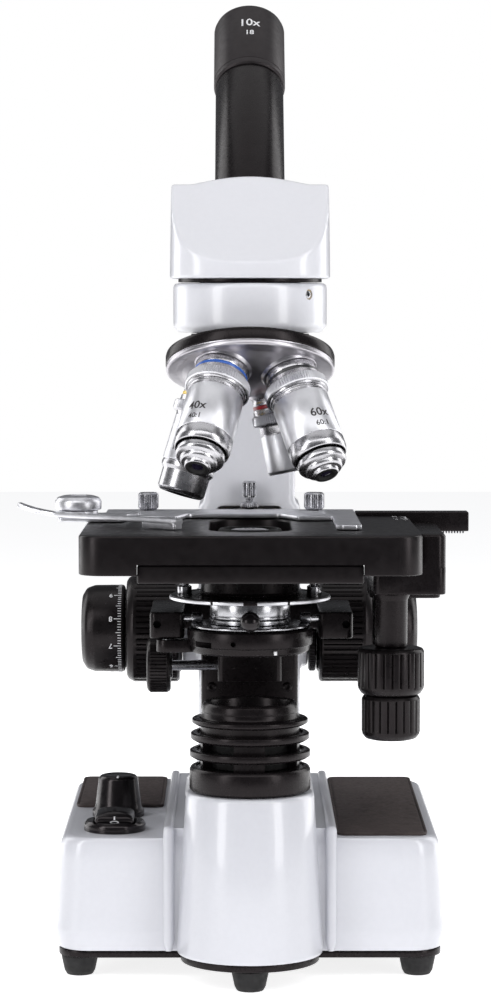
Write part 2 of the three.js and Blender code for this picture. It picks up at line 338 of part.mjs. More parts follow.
// ---- head and eyepiece ---------------------------------------------------------------------
{
  const axis = V3(0, 1, 1).normalize(), from = V3(0, 0, TUBE.z);
  const roof = side(poly([[-30, 267], [-30, 275.7], [-3.6, 303.6], [-2, 304], [-0.4, 303.2], [30, 272.6], [30, 267]]), 30);
  const hull = common(roof, loft([rectRing(-30.1, 30.1, -30, 30, 11, 260, 6), rectRing(-29.5, 29.5, -30, 30, 11, 306, 6)]));
  const collar = along(rod(20, -4, 14.2, 40), from, axis);
  const collarIn = common(collar, box(-29, 29, -29, 40, 267, 320));
  const foot = lathe([[0, 257], [18.6, 257], [19, 257.4], [19, 265.6], [27, 265.6], [27, 268], [0, 268]], 40);
  let h = join(hull, collarIn, foot);
  h = cut(h, rod(10, 250, 275), side(poly([[-18, 269.5], [16, 269.5], [8, 282], [-6, 292], [-18, 280]]), 18), along(rod(13.7, 2, 60, 32), from, axis));
  add("head_housing", h, WHITE, 0.25);
  add("head_prism", side(poly([[-15, 270], [13, 270], [5, 281], [-6, 289], [-15, 280]]), 14), GLASS, 0.05);
  add("eyepiece_tube", along(lathe([[11.9, 12], [13.3, 12], [13.3, TUBE.seam], [11.9, TUBE.seam]], 40), from, axis), BLACK, 0.35);
  const e = TUBE;
  add("eyepiece_body", along(lathe([[10.3, 58], [11.6, 58], [11.6, e.seam + GAP], [13.5, e.seam + GAP], [14, e.seam + 0.8], [14, e.end - 1.2], [13, e.end], [9.4, e.end - 0.6], [8.6, e.end - 2.6], [8.6, e.seam + 24], [10.3, e.seam + 20]], 40), from, axis), BLACK, 0.35);
  add("eye_lens", along(lathe([[0, e.end - 9], [8.3, e.end - 9], [8.3, e.end - 5], [4.4, e.end - 3.6], [0, e.end - 3.2]], 24), from, axis), GLASS, 0.05);
}

export default group;
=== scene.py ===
import bpy, bmesh, math
from math import pi, sin, cos, tan, atan2, acos, radians, sqrt
from mathutils import Vector, Matrix
from mathutils.geometry import tessellate_polygon


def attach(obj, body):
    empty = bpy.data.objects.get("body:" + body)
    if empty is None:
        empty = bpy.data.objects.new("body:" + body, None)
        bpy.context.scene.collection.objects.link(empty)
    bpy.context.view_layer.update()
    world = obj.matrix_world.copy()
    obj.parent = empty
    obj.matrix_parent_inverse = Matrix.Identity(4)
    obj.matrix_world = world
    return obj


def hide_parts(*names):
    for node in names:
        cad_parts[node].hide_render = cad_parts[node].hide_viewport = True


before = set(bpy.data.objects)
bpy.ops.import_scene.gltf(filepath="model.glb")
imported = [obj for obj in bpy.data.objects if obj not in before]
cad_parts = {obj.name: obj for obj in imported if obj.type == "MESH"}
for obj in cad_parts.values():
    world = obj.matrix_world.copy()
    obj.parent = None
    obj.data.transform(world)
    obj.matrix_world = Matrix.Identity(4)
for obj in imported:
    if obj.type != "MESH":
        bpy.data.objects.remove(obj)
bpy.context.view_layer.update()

SX, SY = 2.25, -41.65
scene = bpy.context.scene


def row(p):
    return ((p[0] + SX) / 1000, (p[1] + SY) / 1000, p[2] / 1000)


# ------------------------------------------------------------------ camera, light, floor
cam = bpy.data.objects.new("camera", bpy.data.cameras.new("camera"))
scene.collection.objects.link(cam)
cam.location = row((-4.243, -1189.546, 258.453))
cam.rotation_euler = (radians(90 - 3.60626), 0, radians(-0.12218))
cam.data.lens, cam.data.sensor_width, cam.data.sensor_fit = 113.448, 36, "AUTO"
cam.data.clip_start, cam.data.clip_end = 0.01, 50
scene.camera = cam
scene.view_settings.view_transform = "Standard"


def area(name, place, target, size, size_y, power, colour=(1, 1, 1)):
    d = bpy.data.lights.new(name, "AREA")
    d.shape, d.size, d.size_y, d.energy, d.color = "RECTANGLE", size, size_y, power, colour
    o = bpy.data.objects.new(name, d)
    scene.collection.objects.link(o)
    o.location = Vector(row(place))
    o.rotation_euler = (Vector(row(target)) - o.location).to_track_quat("-Z", "Y").to_euler()
    return o


area("strip_left", (-950, -800, 640), (0, 0, 420), 0.36, 1.25, 7.6)
area("strip_right", (950, -800, 640), (0, 0, 420), 0.36, 1.25, 7.6)
area("top", (0, 150, 1350), (0, 20, 0), 1.6, 1.2, 5.0)
area("front_high", (0, -1250, 1350), (0, 0, 320), 1.8, 0.6, 7.6)
area("rim_left", (-900, 600, 450), (0, 60, 150), 0.6, 1.1, 5)
area("rim_right", (900, 600, 450), (0, 60, 150), 0.6, 1.1, 5)

world = bpy.data.worlds.new("studio")
scene.world = world
world.use_nodes = True
wt = world.node_tree
wt.nodes.clear()
wo = wt.nodes.new("ShaderNodeOutputWorld")
wm = wt.nodes.new("ShaderNodeMixShader")
wl = wt.nodes.new("ShaderNodeLightPath")
wa = wt.nodes.new("ShaderNodeBackground")
wb = wt.nodes.new("ShaderNodeBackground")
wa.inputs["Color"].default_value = (0.82, 0.84, 0.90, 1)
wa.inputs["Strength"].default_value = 0.13
wb.inputs["Color"].default_value = (1, 1, 1, 1)
wb.inputs["Strength"].default_value = 1.0
wt.links.new(wl.outputs["Is Camera Ray"], wm.inputs["Fac"])
wt.links.new(wa.outputs[0], wm.inputs[1])
wt.links.new(wb.outputs[0], wm.inputs[2])
wt.links.new(wm.outputs[0], wo.inputs["Surface"])

# ------------------------------------------------------------------ materials
MATS = {}


def material(name, c1, c2, r1, r2, metal=0.0, cscale=120.0, rscale=300.0, bumps=(), coat=0.0,
             coat_rough=0.05, coat_bump=True, spec=0.5, ior=1.5, trans=0.0, axis=None, lines=0.0, line_scale=2600.0, voronoi=None):
    """Object-space noise varies colour between c1 and c2 and roughness between r1 and r2.
    bumps are (scale, detail, height in metres). axis adds fine turning lines round that axis."""
    m = bpy.data.materials.new(name)
    m.use_nodes = True
    nt = m.node_tree
    b = nt.nodes["Principled BSDF"]
    L = nt.links.new
    b.inputs["Metallic"].default_value = metal
    b.inputs["IOR"].default_value = ior
    b.inputs["Specular IOR Level"].default_value = spec
    b.inputs["Specular Tint"].default_value = (1.0, 0.90, 0.92, 1) if name.startswith("black_") else (1, 1, 1, 1)
    b.inputs["Coat Weight"].default_value = coat
    b.inputs["Coat Roughness"].default_value = coat_rough
    b.inputs["Transmission Weight"].default_value = trans
    tc = nt.nodes.new("ShaderNodeTexCoord")
    n1 = nt.nodes.new("ShaderNodeTexNoise")
    n1.inputs["Scale"].default_value = cscale
    n1.inputs["Detail"].default_value = 4
    L(tc.outputs["Object"], n1.inputs["Vector"])
    ramp = nt.nodes.new("ShaderNodeValToRGB")
    ramp.color_ramp.elements[0].position, ramp.color_ramp.elements[1].position = 0.35, 0.65
    ramp.color_ramp.elements[0].color, ramp.color_ramp.elements[1].color = (*c1, 1), (*c2, 1)
    L(n1.outputs["Fac"], ramp.inputs["Fac"])
    L(ramp.outputs["Color"], b.inputs["Base Color"])
    n2 = nt.nodes.new("ShaderNodeTexNoise")
    n2.inputs["Scale"].default_value = rscale
    n2.inputs["Detail"].default_value = 3
    L(tc.outputs["Object"], n2.inputs["Vector"])
    mr = nt.nodes.new("ShaderNodeMapRange")
    mr.inputs["From Min"].default_value, mr.inputs["From Max"].default_value = 0.3, 0.7
    mr.inputs["To Min"].default_value, mr.inputs["To Max"].default_value = r1, r2
    L(n2.outputs["Fac"], mr.inputs["Value"])
    L(mr.outputs["Result"], b.inputs["Roughness"])
    last = None

    def bump(height, metres):
        nonlocal last
        k = nt.nodes.new("ShaderNodeBump")
        k.inputs["Strength"].default_value = 1.0
        k.inputs["Distance"].default_value = metres
        L(height, k.inputs["Height"])
        if last is not None:
            L(last, k.inputs["Normal"])
        last = k.outputs["Normal"]

    for scale, detail, h in bumps:
        n = nt.nodes.new("ShaderNodeTexNoise")
        n.inputs["Scale"].default_value = scale
        n.inputs["Detail"].default_value = detail
        L(tc.outputs["Object"], n.inputs["Vector"])
        bump(n.outputs["Fac"], h)
    if voronoi:
        v = nt.nodes.new("ShaderNodeTexVoronoi")
        v.feature = "F1"
        v.inputs["Scale"].default_value = voronoi[0]
        L(tc.outputs["Object"], v.inputs["Vector"])
        bump(v.outputs["Distance"], voronoi[1])
    if axis is not None:
        dot = nt.nodes.new("ShaderNodeVectorMath")
        dot.operation = "DOT_PRODUCT"
        dot.inputs[1].default_value = tuple(Vector(axis).normalized())
        L(tc.outputs["Object"], dot.inputs[0])
        n = nt.nodes.new("ShaderNodeTexNoise")
        n.noise_dimensions = "1D"
        n.inputs["Scale"].default_value = line_scale
        n.inputs["Detail"].default_value = 3
        L(dot.outputs["Value"], n.inputs["W"])
        bump(n.outputs["Fac"], lines)
    if last is not None:
        L(last, b.inputs["Normal"])
        if coat and coat_bump:
            L(last, b.inputs["Coat Normal"])
    MATS[name] = m
    return m


enamel = material("enamel_white", (0.725, 0.728, 0.770), (0.735, 0.738, 0.780), 0.28, 0.31, cscale=520, rscale=900,
                  bumps=[(700, 2, 1.5e-5), (190, 1, 1.2e-5)], coat=0.45, coat_rough=0.07)
# A darker copy of the same white enamel for the base casting: painted shade that tones the base down against the arm
# and head.
enamel_shaded_copy = material("enamel_white_shaded_copy", (0.575, 0.580, 0.622), (0.585, 0.590, 0.632), 0.28, 0.31, cscale=520, rscale=900,
                       bumps=[(700, 2, 1.5e-5), (190, 1, 1.0e-5)], coat=0.45, coat_rough=0.07)
black_satin = material("black_satin", (0.0052, 0.0042, 0.0046), (0.0074, 0.0060, 0.0065), 0.24, 0.32, cscale=240, rscale=500,
                       bumps=[(1300, 1, 1.2e-6)], spec=0.19)
eyepiece_black = material("black_eyepiece_paint", (0.0085, 0.0072, 0.0080), (0.0125, 0.0105, 0.0115), 0.40, 0.50, cscale=240, rscale=500,
                          bumps=[(1300, 1, 2e-6)], spec=0.36)
black_plastic = material("black_moulded_plastic", (0.0048, 0.0040, 0.0043), (0.0072, 0.0061, 0.0066), 0.25, 0.36, cscale=180, rscale=420,
                         bumps=[(1100, 1, 1.2e-6)], spec=0.21)
black_gloss = material("black_gloss_plastic", (0.0050, 0.0044, 0.0050), (0.0068, 0.0060, 0.0068), 0.20, 0.27, cscale=190, rscale=420,
                       bumps=[(1200, 1, 2e-6)], spec=0.30, coat=0.08, coat_rough=0.12)
stage_black = material("black_stage_paint", (0.0036, 0.0029, 0.0032), (0.0056, 0.0047, 0.0051), 0.30, 0.40, cscale=200, rscale=420,
                       bumps=[(1400, 2, 3e-6)], spec=0.26)
pad_mat = material("pad_grained_rubber", (0.040, 0.030, 0.029), (0.056, 0.043, 0.041), 0.62, 0.80, cscale=260, rscale=700,
                   bumps=[(1500, 2, 2.0e-5)], voronoi=(900, 3.5e-5), spec=0.35)
rubber = material("foot_rubber", (0.0065, 0.0062, 0.0068), (0.0120, 0.0112, 0.0118), 0.55, 0.75, cscale=300, rscale=500,
                  bumps=[(1400, 3, 2e-5)], spec=0.35)
hole_dark = material("dark_recess", (0.0030, 0.0028, 0.0030), (0.0050, 0.0046, 0.0048), 0.55, 0.7, cscale=300, rscale=500,
                     bumps=[(1400, 2, 6e-6)], spec=0.3)
pcb = material("circuit_board_green", (0.010, 0.055, 0.022), (0.016, 0.078, 0.032), 0.35, 0.5, cscale=600, rscale=600,
               bumps=[(1800, 2, 8e-6)])
led_yellow = material("lamp_phosphor", (0.72, 0.58, 0.16), (0.80, 0.66, 0.22), 0.3, 0.4, cscale=900, rscale=600, bumps=[(2200, 2, 6e-6)], coat=0.6, coat_rough=0.06)
white_ink = material("white_marking", (0.72, 0.72, 0.74), (0.80, 0.80, 0.82), 0.45, 0.6, cscale=800, rscale=800, bumps=[(2600, 2, 4e-6)])
black_ink = material("black_engraving", (0.010, 0.010, 0.011), (0.018, 0.017, 0.018), 0.45, 0.6, cscale=900, rscale=900, bumps=[(2600, 2, 4e-6)])
glass = material("lens_glass", (0.92, 0.95, 0.97), (0.96, 0.98, 0.99), 0.01, 0.03, cscale=40, rscale=90, bumps=[(60, 1, 2e-7)], trans=1.0, ior=1.52)
coated = material("coated_front_lens", (0.006, 0.005, 0.012), (0.010, 0.008, 0.018), 0.05, 0.09, cscale=60, rscale=90, bumps=[(80, 1, 2e-7)], coat=0.25, coat_rough=0.03, spec=0.4)
prism_glass = material("prism_glass", (0.84, 0.92, 0.93), (0.88, 0.95, 0.96), 0.02, 0.05, cscale=40, rscale=90, bumps=[(60, 1, 2e-7)], trans=0.9, ior=1.52)
RING = {}
for key, a, b in (("blue", (0.020, 0.105, 0.46), (0.030, 0.135, 0.54)), ("yellow", (0.78, 0.52, 0.02), (0.88, 0.60, 0.03)),
                  ("red", (0.34, 0.010, 0.018), (0.44, 0.016, 0.024)), ("black", (0.010, 0.010, 0.014), (0.020, 0.018, 0.024))):
    RING[key] = material("ring_" + key, a, b, 0.3, 0.4, cscale=300, rscale=400, bumps=[(1600, 1, 3e-6)], coat=0.3, coat_rough=0.1)


def metal(kind, axis, tag):
    key = kind + "_" + tag
    if key in MATS:
        return MATS[key]
    spec = {
        "satin": dict(c1=(0.66, 0.66, 0.69), c2=(0.74, 0.74, 0.77), r1=0.34, r2=0.44, lines=2.4e-6, line_scale=1900.0),
        "chrome": dict(c1=(0.47, 0.465, 0.485), c2=(0.53, 0.525, 0.545), r1=0.24, r2=0.30, lines=1.5e-7, line_scale=900.0),
        "dome": dict(c1=(0.47, 0.455, 0.485), c2=(0.53, 0.515, 0.545), r1=0.30, r2=0.36, lines=1.2e-6, line_scale=1300.0),
        "steel": dict(c1=(0.40, 0.40, 0.42), c2=(0.50, 0.50, 0.52), r1=0.20, r2=0.30, lines=5e-7, line_scale=1500.0),
        "brass": dict(c1=(0.62, 0.46, 0.20), c2=(0.72, 0.55, 0.26), r1=0.24, r2=0.34, lines=2.5e-6, line_scale=2600.0),
    }[kind]
    return material(key, spec["c1"], spec["c2"], spec["r1"], spec["r2"], metal=1.0, cscale=160, rscale=500,
                    bumps=[(300, 1, 2.5e-7)], axis=axis, lines=spec["lines"], line_scale=spec["line_scale"])


# ------------------------------------------------------------------ mesh helpers (millimetres)
class Part:
    def __init__(self):
        self.v, self.f, self.m = [], [], []

    def put(self, verts, faces, mats, M=None):
        o = len(self.v)
        self.v += [tuple(M @ Vector(p)) if M is not None else tuple(p) for p in verts]
        self.f += [[i + o for i in f] for f in faces]
        self.m += mats if isinstance(mats, list) else [mats] * len(faces)
        return self


def fillet(pts, closed, e, seg=3):
    """Points (a, b, radius, tag...) -> the same outline with its corners rounded."""
    n, out = len(pts), []
    for i, p in enumerate(pts):
        r = p[2] if len(p) > 2 and p[2] is not None else e
        tag = tuple(p[3:])
        if (not closed and i in (0, n - 1)) or r <= 0:
            out.append((p[0], p[1]) + tag)
            continue
        a, b, c = Vector(pts[i - 1][:2]), Vector(p[:2]), Vector(pts[(i + 1) % n][:2])
        u, v = a - b, c - b
        lu, lv = u.length, v.length
        if lu < 1e-6 or lv < 1e-6:
            out.append((p[0], p[1]) + tag)
            continue
        u /= lu
        v /= lv
        ang = acos(max(-1, min(1, u.dot(v))))
        if ang > pi - 0.05 or ang < 0.02:
            out.append((p[0], p[1]) + tag)
            continue
        d = min(r / tan(ang / 2), 0.46 * lu, 0.46 * lv)
        r = d * tan(ang / 2)
        s, t = b + u * d, b + v * d
        ctr = b + (u + v).normalized() * (r / sin(ang / 2))
        a0, a1 = atan2(s.y - ctr.y, s.x - ctr.x), atan2(t.y - ctr.y, t.x - ctr.x)
        da = (a1 - a0 + pi) % (2 * pi) - pi
        k = max(1, round(seg * abs(da) / (pi / 2)))
        for j in range(k + 1):
            q = a0 + da * j / k
            out.append((ctr.x + r * cos(q), ctr.y + r * sin(q)) + tag)
    return out


def rib_shape(kind, phi):
    if kind == "groove":
        return max(0.0, cos(phi)) ** 5
    if kind == "cog":
        return 1.0 if cos(phi) > 0.2 else 0.0
    return 0.5 + 0.5 * cos(phi)


def turn(P, pts, M=None, n=72, e=0.2, fs=3, mat=0):
    """Body of revolution about local +Z. pts are (r, z, fillet, material, rib) and rib is
    (count, depth, kind, samples) on the stretch that starts at that point."""
    closed = not (abs(pts[0][0]) < 1e-9 and abs(pts[-1][0]) < 1e-9)
    prof = []
    for q in fillet(pts, closed, e, fs):
        prof.append((q[0], q[1], q[2] if len(q) > 2 and q[2] is not None else mat, q[3] if len(q) > 3 else None))
    k, rib = 1, next((q[3] for q in prof if q[3]), None)
    if rib:
        total = rib[0] * rib[3]
        k = max(1, round(total / n))
        while total % k:
            k += 1
        n = total // k
    m = len(prof)
    segs = m if closed else m - 1
    sub = [1] * m
    for i in range(segs):
        if prof[i][3]:
            sub[i] = sub[(i + 1) % m] = k
    verts, rings = [], []
    for i, (r, z, _, rb) in enumerate(prof):
        if r < 1e-9:
            rings.append([len(verts)])
            verts.append((0, 0, z))
            continue
        cnt, ids = n * sub[i], []
        for j in range(cnt):
            a = 2 * pi * j / cnt
            rr = r - rib[1] * rib_shape(rib[2], a * rib[0]) if sub[i] > 1 else r
            ids.append(len(verts))
            verts.append((rr * cos(a), rr * sin(a), z))
        rings.append(ids)
    faces, mats = [], []
    for i in range(segs):
        A, B, mt = rings[i], rings[(i + 1) % m], prof[i][2]
        if len(A) == 1 and len(B) == 1:
            continue
        if len(A) == 1 or len(B) == 1:
            C, o = (B, A[0]) if len(A) == 1 else (A, B[0])
            for j in range(len(C)):
                faces.append([o, C[j], C[(j + 1) % len(C)]])
                mats.append(mt)
        elif len(A) == len(B):
            for j in range(len(A)):
                j2 = (j + 1) % len(A)
                faces.append([A[j], A[j2], B[j2], B[j]])
                mats.append(mt)
        else:
            C, D = (A, B) if len(A) < len(B) else (B, A)
            q = len(D) // len(C)
            for j in range(len(C)):
                faces.append([C[(j + 1) % len(C)], C[j]] + [D[(j * q + s) % len(D)] for s in range(q + 1)])
                mats.append(mt)
    return P.put(verts, faces, mats, M)


def area2(loop):
    return sum(loop[i - 1][0] * loop[i][1] - loop[i][0] * loop[i - 1][1] for i in range(len(loop)))


def inset(loop, d):
    out, n = [], len(loop)
    for i in range(n):
        a, b, c = Vector(loop[i - 1][:2]), Vector(loop[i][:2]), Vector(loop[(i + 1) % n][:2])
        u, v = (b - a).normalized(), (c - b).normalized()
        n1, n2 = Vector((-u.y, u.x)), Vector((-v.y, v.x))
        k = 1 + n1.dot(n2)
        mit = (n1 + n2) / max(k, 0.35)
        out.append((b.x + mit.x * d, b.y + mit.y * d))
    return out


def levels(z0, z1, eb, et, seg=3):
    out = []
    for j in range(seg + 1):
        a = pi / 2 * j / seg
        out.append((eb * (1 - sin(a)), z0 + eb * (1 - cos(a))))
    for j in range(seg + 1):
        a = pi / 2 * j / seg
        out.append((et * (1 - cos(a)), z1 - et * (1 - sin(a))))
    return out


def slab(P, outer, holes, lv, M=None, mat=0):
    """Plate between outlines, with levels (inset, height) that round its edges."""
    loops = [list(outer) if area2(outer) > 0 else list(outer)[::-1]]
    loops += [list(h) if area2(h) < 0 else list(h)[::-1] for h in holes]
    verts, faces, starts = [], [], []
    for lp in loops:
        n, st = len(lp), []
        for d, z in lv:
            st.append(len(verts))
            verts += [(x, y, z) for x, y in inset(lp, d)]
        for a, b in zip(st, st[1:]):
            for i in range(n):
                j = (i + 1) % n
                faces.append([a + i, a + j, b + j, b + i])
        starts.append((st[0], st[-1], n))
    for which in (0, 1):
        polys, ids = [], []
        for s in starts:
            st = s[which]
            polys.append([Vector((verts[st + i][0], verts[st + i][1], 0)) for i in range(s[2])])
            ids += [st + i for i in range(s[2])]
        if len(polys) == 1:
            faces.append(list(ids))
        else:
            for t in tessellate_polygon(polys):
                if len(set(t)) == 3:
                    faces.append([ids[i] for i in t])
    return P.put(verts, faces, mat, M)


def loft(P, rings, M=None, mat=0):
    verts, faces, n = [], [], len(rings[0])
    for r in rings:
        verts += r
    for k in range(len(rings) - 1):
        for i in range(n):
            j = (i + 1) % n
            faces.append([k * n + i, k * n + j, (k + 1) * n + j, (k + 1) * n + i])
    faces += [list(range(n))[::-1], [(len(rings) - 1) * n + i for i in range(n)]]
    return P.put(verts, faces, mat, M)


def rrect(x0, x1, y0, y1, r, seg=6):
    out = []
    for cx, cy, a0 in ((x1 - r, y0 + r, -90), (x1 - r, y1 - r, 0), (x0 + r, y1 - r, 90), (x0 + r, y0 + r, 180)):
        for i in range(seg + 1):
            a = radians(a0 + 90 * i / seg)
            out.append((cx + r * cos(a), cy + r * sin(a)))
    return out


def ring3(x0, x1, y0, y1, r, z, seg=6):
    return [(x, y, z) for x, y in rrect(x0, x1, y0, y1, r, seg)]


def circle(cx, cy, r, n=48):
    return [(cx + r * cos(2 * pi * i / n), cy + r * sin(2 * pi * i / n)) for i in range(n)]


def outline(pts, e, seg=4):
    return [q[:2] for q in fillet(pts, True, e, seg)]


def brick(P, x0, x1, y0, y1, z0, z1, r=0.6, e=0.3, M=None, mat=0, seg=4):
    return slab(P, rrect(x0, x1, y0, y1, r, seg), [], levels(z0, z1, e, e, 2), M, mat)


def place(origin, direction, ref=(0, 1, 0)):
    """Local +Z along direction, with local -Y turned towards the front of the object."""
    z = Vector(direction).normalized()
    y = Vector(ref)
    y = (y - z * y.dot(z)).normalized()
    x = y.cross(z)
    M = Matrix((x, y, z)).transposed().to_4x4()
    M.translation = Vector(origin)
    return M


def along_x(y, z, x=0.0):
    """Local +Z runs along +X and local +Y along +Y."""
    M = Matrix(((0, 0, 1), (0, 1, 0), (-1, 0, 0))).to_4x4()
    M.translation = Vector((x, y, z))
    return M


SIDE = Matrix(((0, 0, 1), (1, 0, 0), (0, 1, 0))).to_4x4()  # outline (Y, Z), thickness along X


def shift(x, y, z):
    return Matrix.Translation((x, y, z))


def to_object(P):
    me = bpy.data.meshes.new("work")
    me.from_pydata(P.v, [], P.f)
    for _ in range(max(P.m) + 1 if P.m else 1):
        me.materials.append(None)
    me.polygons.foreach_set("material_index", P.m)
    bm = bmesh.new()
    bm.from_mesh(me)
    bmesh.ops.remove_doubles(bm, verts=bm.verts, dist=1e-5)
    bmesh.ops.recalc_face_normals(bm, faces=bm.faces)
    bm.to_mesh(me)
    bm.free()
    o = bpy.data.objects.new("work", me)
    scene.collection.objects.link(o)
    return o


def from_object(o):
    dg = bpy.context.evaluated_depsgraph_get()
    me = bpy.data.meshes.new_from_object(o.evaluated_get(dg))
    P = Part()
    P.v = [tuple(v.co) for v in me.vertices]
    P.f = [list(p.vertices) for p in me.polygons]
    P.m = [p.material_index for p in me.polygons]
    bpy.data.meshes.remove(me)
    return P


def drop(o):
    me = o.data
    bpy.data.objects.remove(o)
    if me.users == 0:
        bpy.data.meshes.remove(me)


def csg(A, *ops):
    """Joins, cuts or intersects exact solids: ops are ("UNION" | "DIFFERENCE" | "INTERSECT", Part)."""
    a, tools = to_object(A), []
    top = max([max(A.m or [0])] + [max(B.m or [0]) for _, B in ops]) + 1
    for kind, B in ops:
        b = to_object(B)
        tools.append(b)
        while len(b.data.materials) < top:
            b.data.materials.append(None)
        mod = a.modifiers.new("op", "BOOLEAN")
        mod.operation, mod.object, mod.solver = kind, b, "EXACT"
    while len(a.data.materials) < top:
        a.data.materials.append(None)
    bpy.context.view_layer.update()
    P = from_object(a)
    for o in [a] + tools:
        drop(o)
    return P


def soften(P, voxel, rounds, factor=0.5):
    """Remeshes a solid evenly and relaxes it, which gives cast edges and fillets."""
    o = to_object(P)
    r = o.modifiers.new("even", "REMESH")
    r.mode, r.voxel_size = "VOXEL", voxel
    s = o.modifiers.new("relax", "SMOOTH")
    s.factor, s.iterations = factor, rounds
    bpy.context.view_layer.update()
    Q = from_object(o)
    drop(o)
    Q.m = [0] * len(Q.f)
    return Q


def emit(name, body, nodes, P, mats, angle=32):
    me = bpy.data.meshes.new(name)
    me.from_pydata([row(p) for p in P.v], [], P.f)
    for m in mats:
        me.materials.append(m)
    me.polygons.foreach_set("material_index", P.m)
    bm = bmesh.new()
    bm.from_mesh(me)
    bmesh.ops.remove_doubles(bm, verts=bm.verts, dist=1e-8)
    bmesh.ops.dissolve_degenerate(bm, edges=bm.edges, dist=1e-8)
    bmesh.ops.recalc_face_normals(bm, faces=bm.faces)
    bm.to_mesh(me)
    bm.free()
    me.polygons.foreach_set("use_smooth", [True] * len(me.polygons))
    me.set_sharp_from_angle(angle=radians(angle))
    me.update()
    o = bpy.data.objects.new(name, me)
    scene.collection.objects.link(o)
    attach(o, body)
    if nodes:
        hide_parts(*nodes)
    return o


def lettering(P, text, size, where, mat, thick=0.03, step=0.5, align="CENTER", bold=0.014):
    """Generic figures as thin raised shapes; where(u, v, w) maps flat text to the surface."""
    cu = bpy.data.curves.new("text", "FONT")
    cu.body, cu.size, cu.align_x, cu.align_y, cu.resolution_u = text, size, align, "CENTER", 3
    cu.extrude = thick / 2
    cu.offset = bold * size
    o = bpy.data.objects.new("text", cu)
    scene.collection.objects.link(o)
    bpy.context.view_layer.update()
    me = bpy.data.meshes.new_from_object(o.evaluated_get(bpy.context.evaluated_depsgraph_get()))
    bm = bmesh.new()
    bm.from_mesh(me)
    bmesh.ops.remove_doubles(bm, verts=bm.verts, dist=1e-4)
    if bm.verts:
        lo, hi = min(v.co.x for v in bm.verts), max(v.co.x for v in bm.verts)
        u = lo + step
        while u < hi:
            bmesh.ops.bisect_plane(bm, geom=bm.verts[:] + bm.edges[:] + bm.faces[:], plane_co=(u, 0, 0), plane_no=(1, 0, 0))
            u += step
    bm.verts.index_update()
    verts = [where(v.co.x, v.co.y, v.co.z) for v in bm.verts]
    faces = [[v.index for v in f.verts] for f in bm.faces]
    bm.free()
    bpy.data.objects.remove(o)
    bpy.data.curves.remove(cu)
    bpy.data.meshes.remove(me)
    return P.put(verts, faces, mat)


def on_cylinder(M, R, a0, z0, up=1, spin=0.0):
    """Maps flat (u, v, w) onto a cylinder about local Z. up=-1 turns the text over, spin turns it in its plane."""
    def f(u, v, w):
        u, v = u * cos(spin) - v * sin(spin), u * sin(spin) + v * cos(spin)
        a, r = a0 + up * u / R, R + 0.022 + w
        return tuple(M @ Vector((r * cos(a), r * sin(a), z0 + up * v)))
    return f


# ------------------------------------------------------------------ base
def fall(y, z):
    """The wing tops slope down towards the front edge."""
    return (max(0.0, min(144.0, y)) / 144 * 2.1 - 1.7) * max(0.0, min(1.0, (z - 44) / 10))


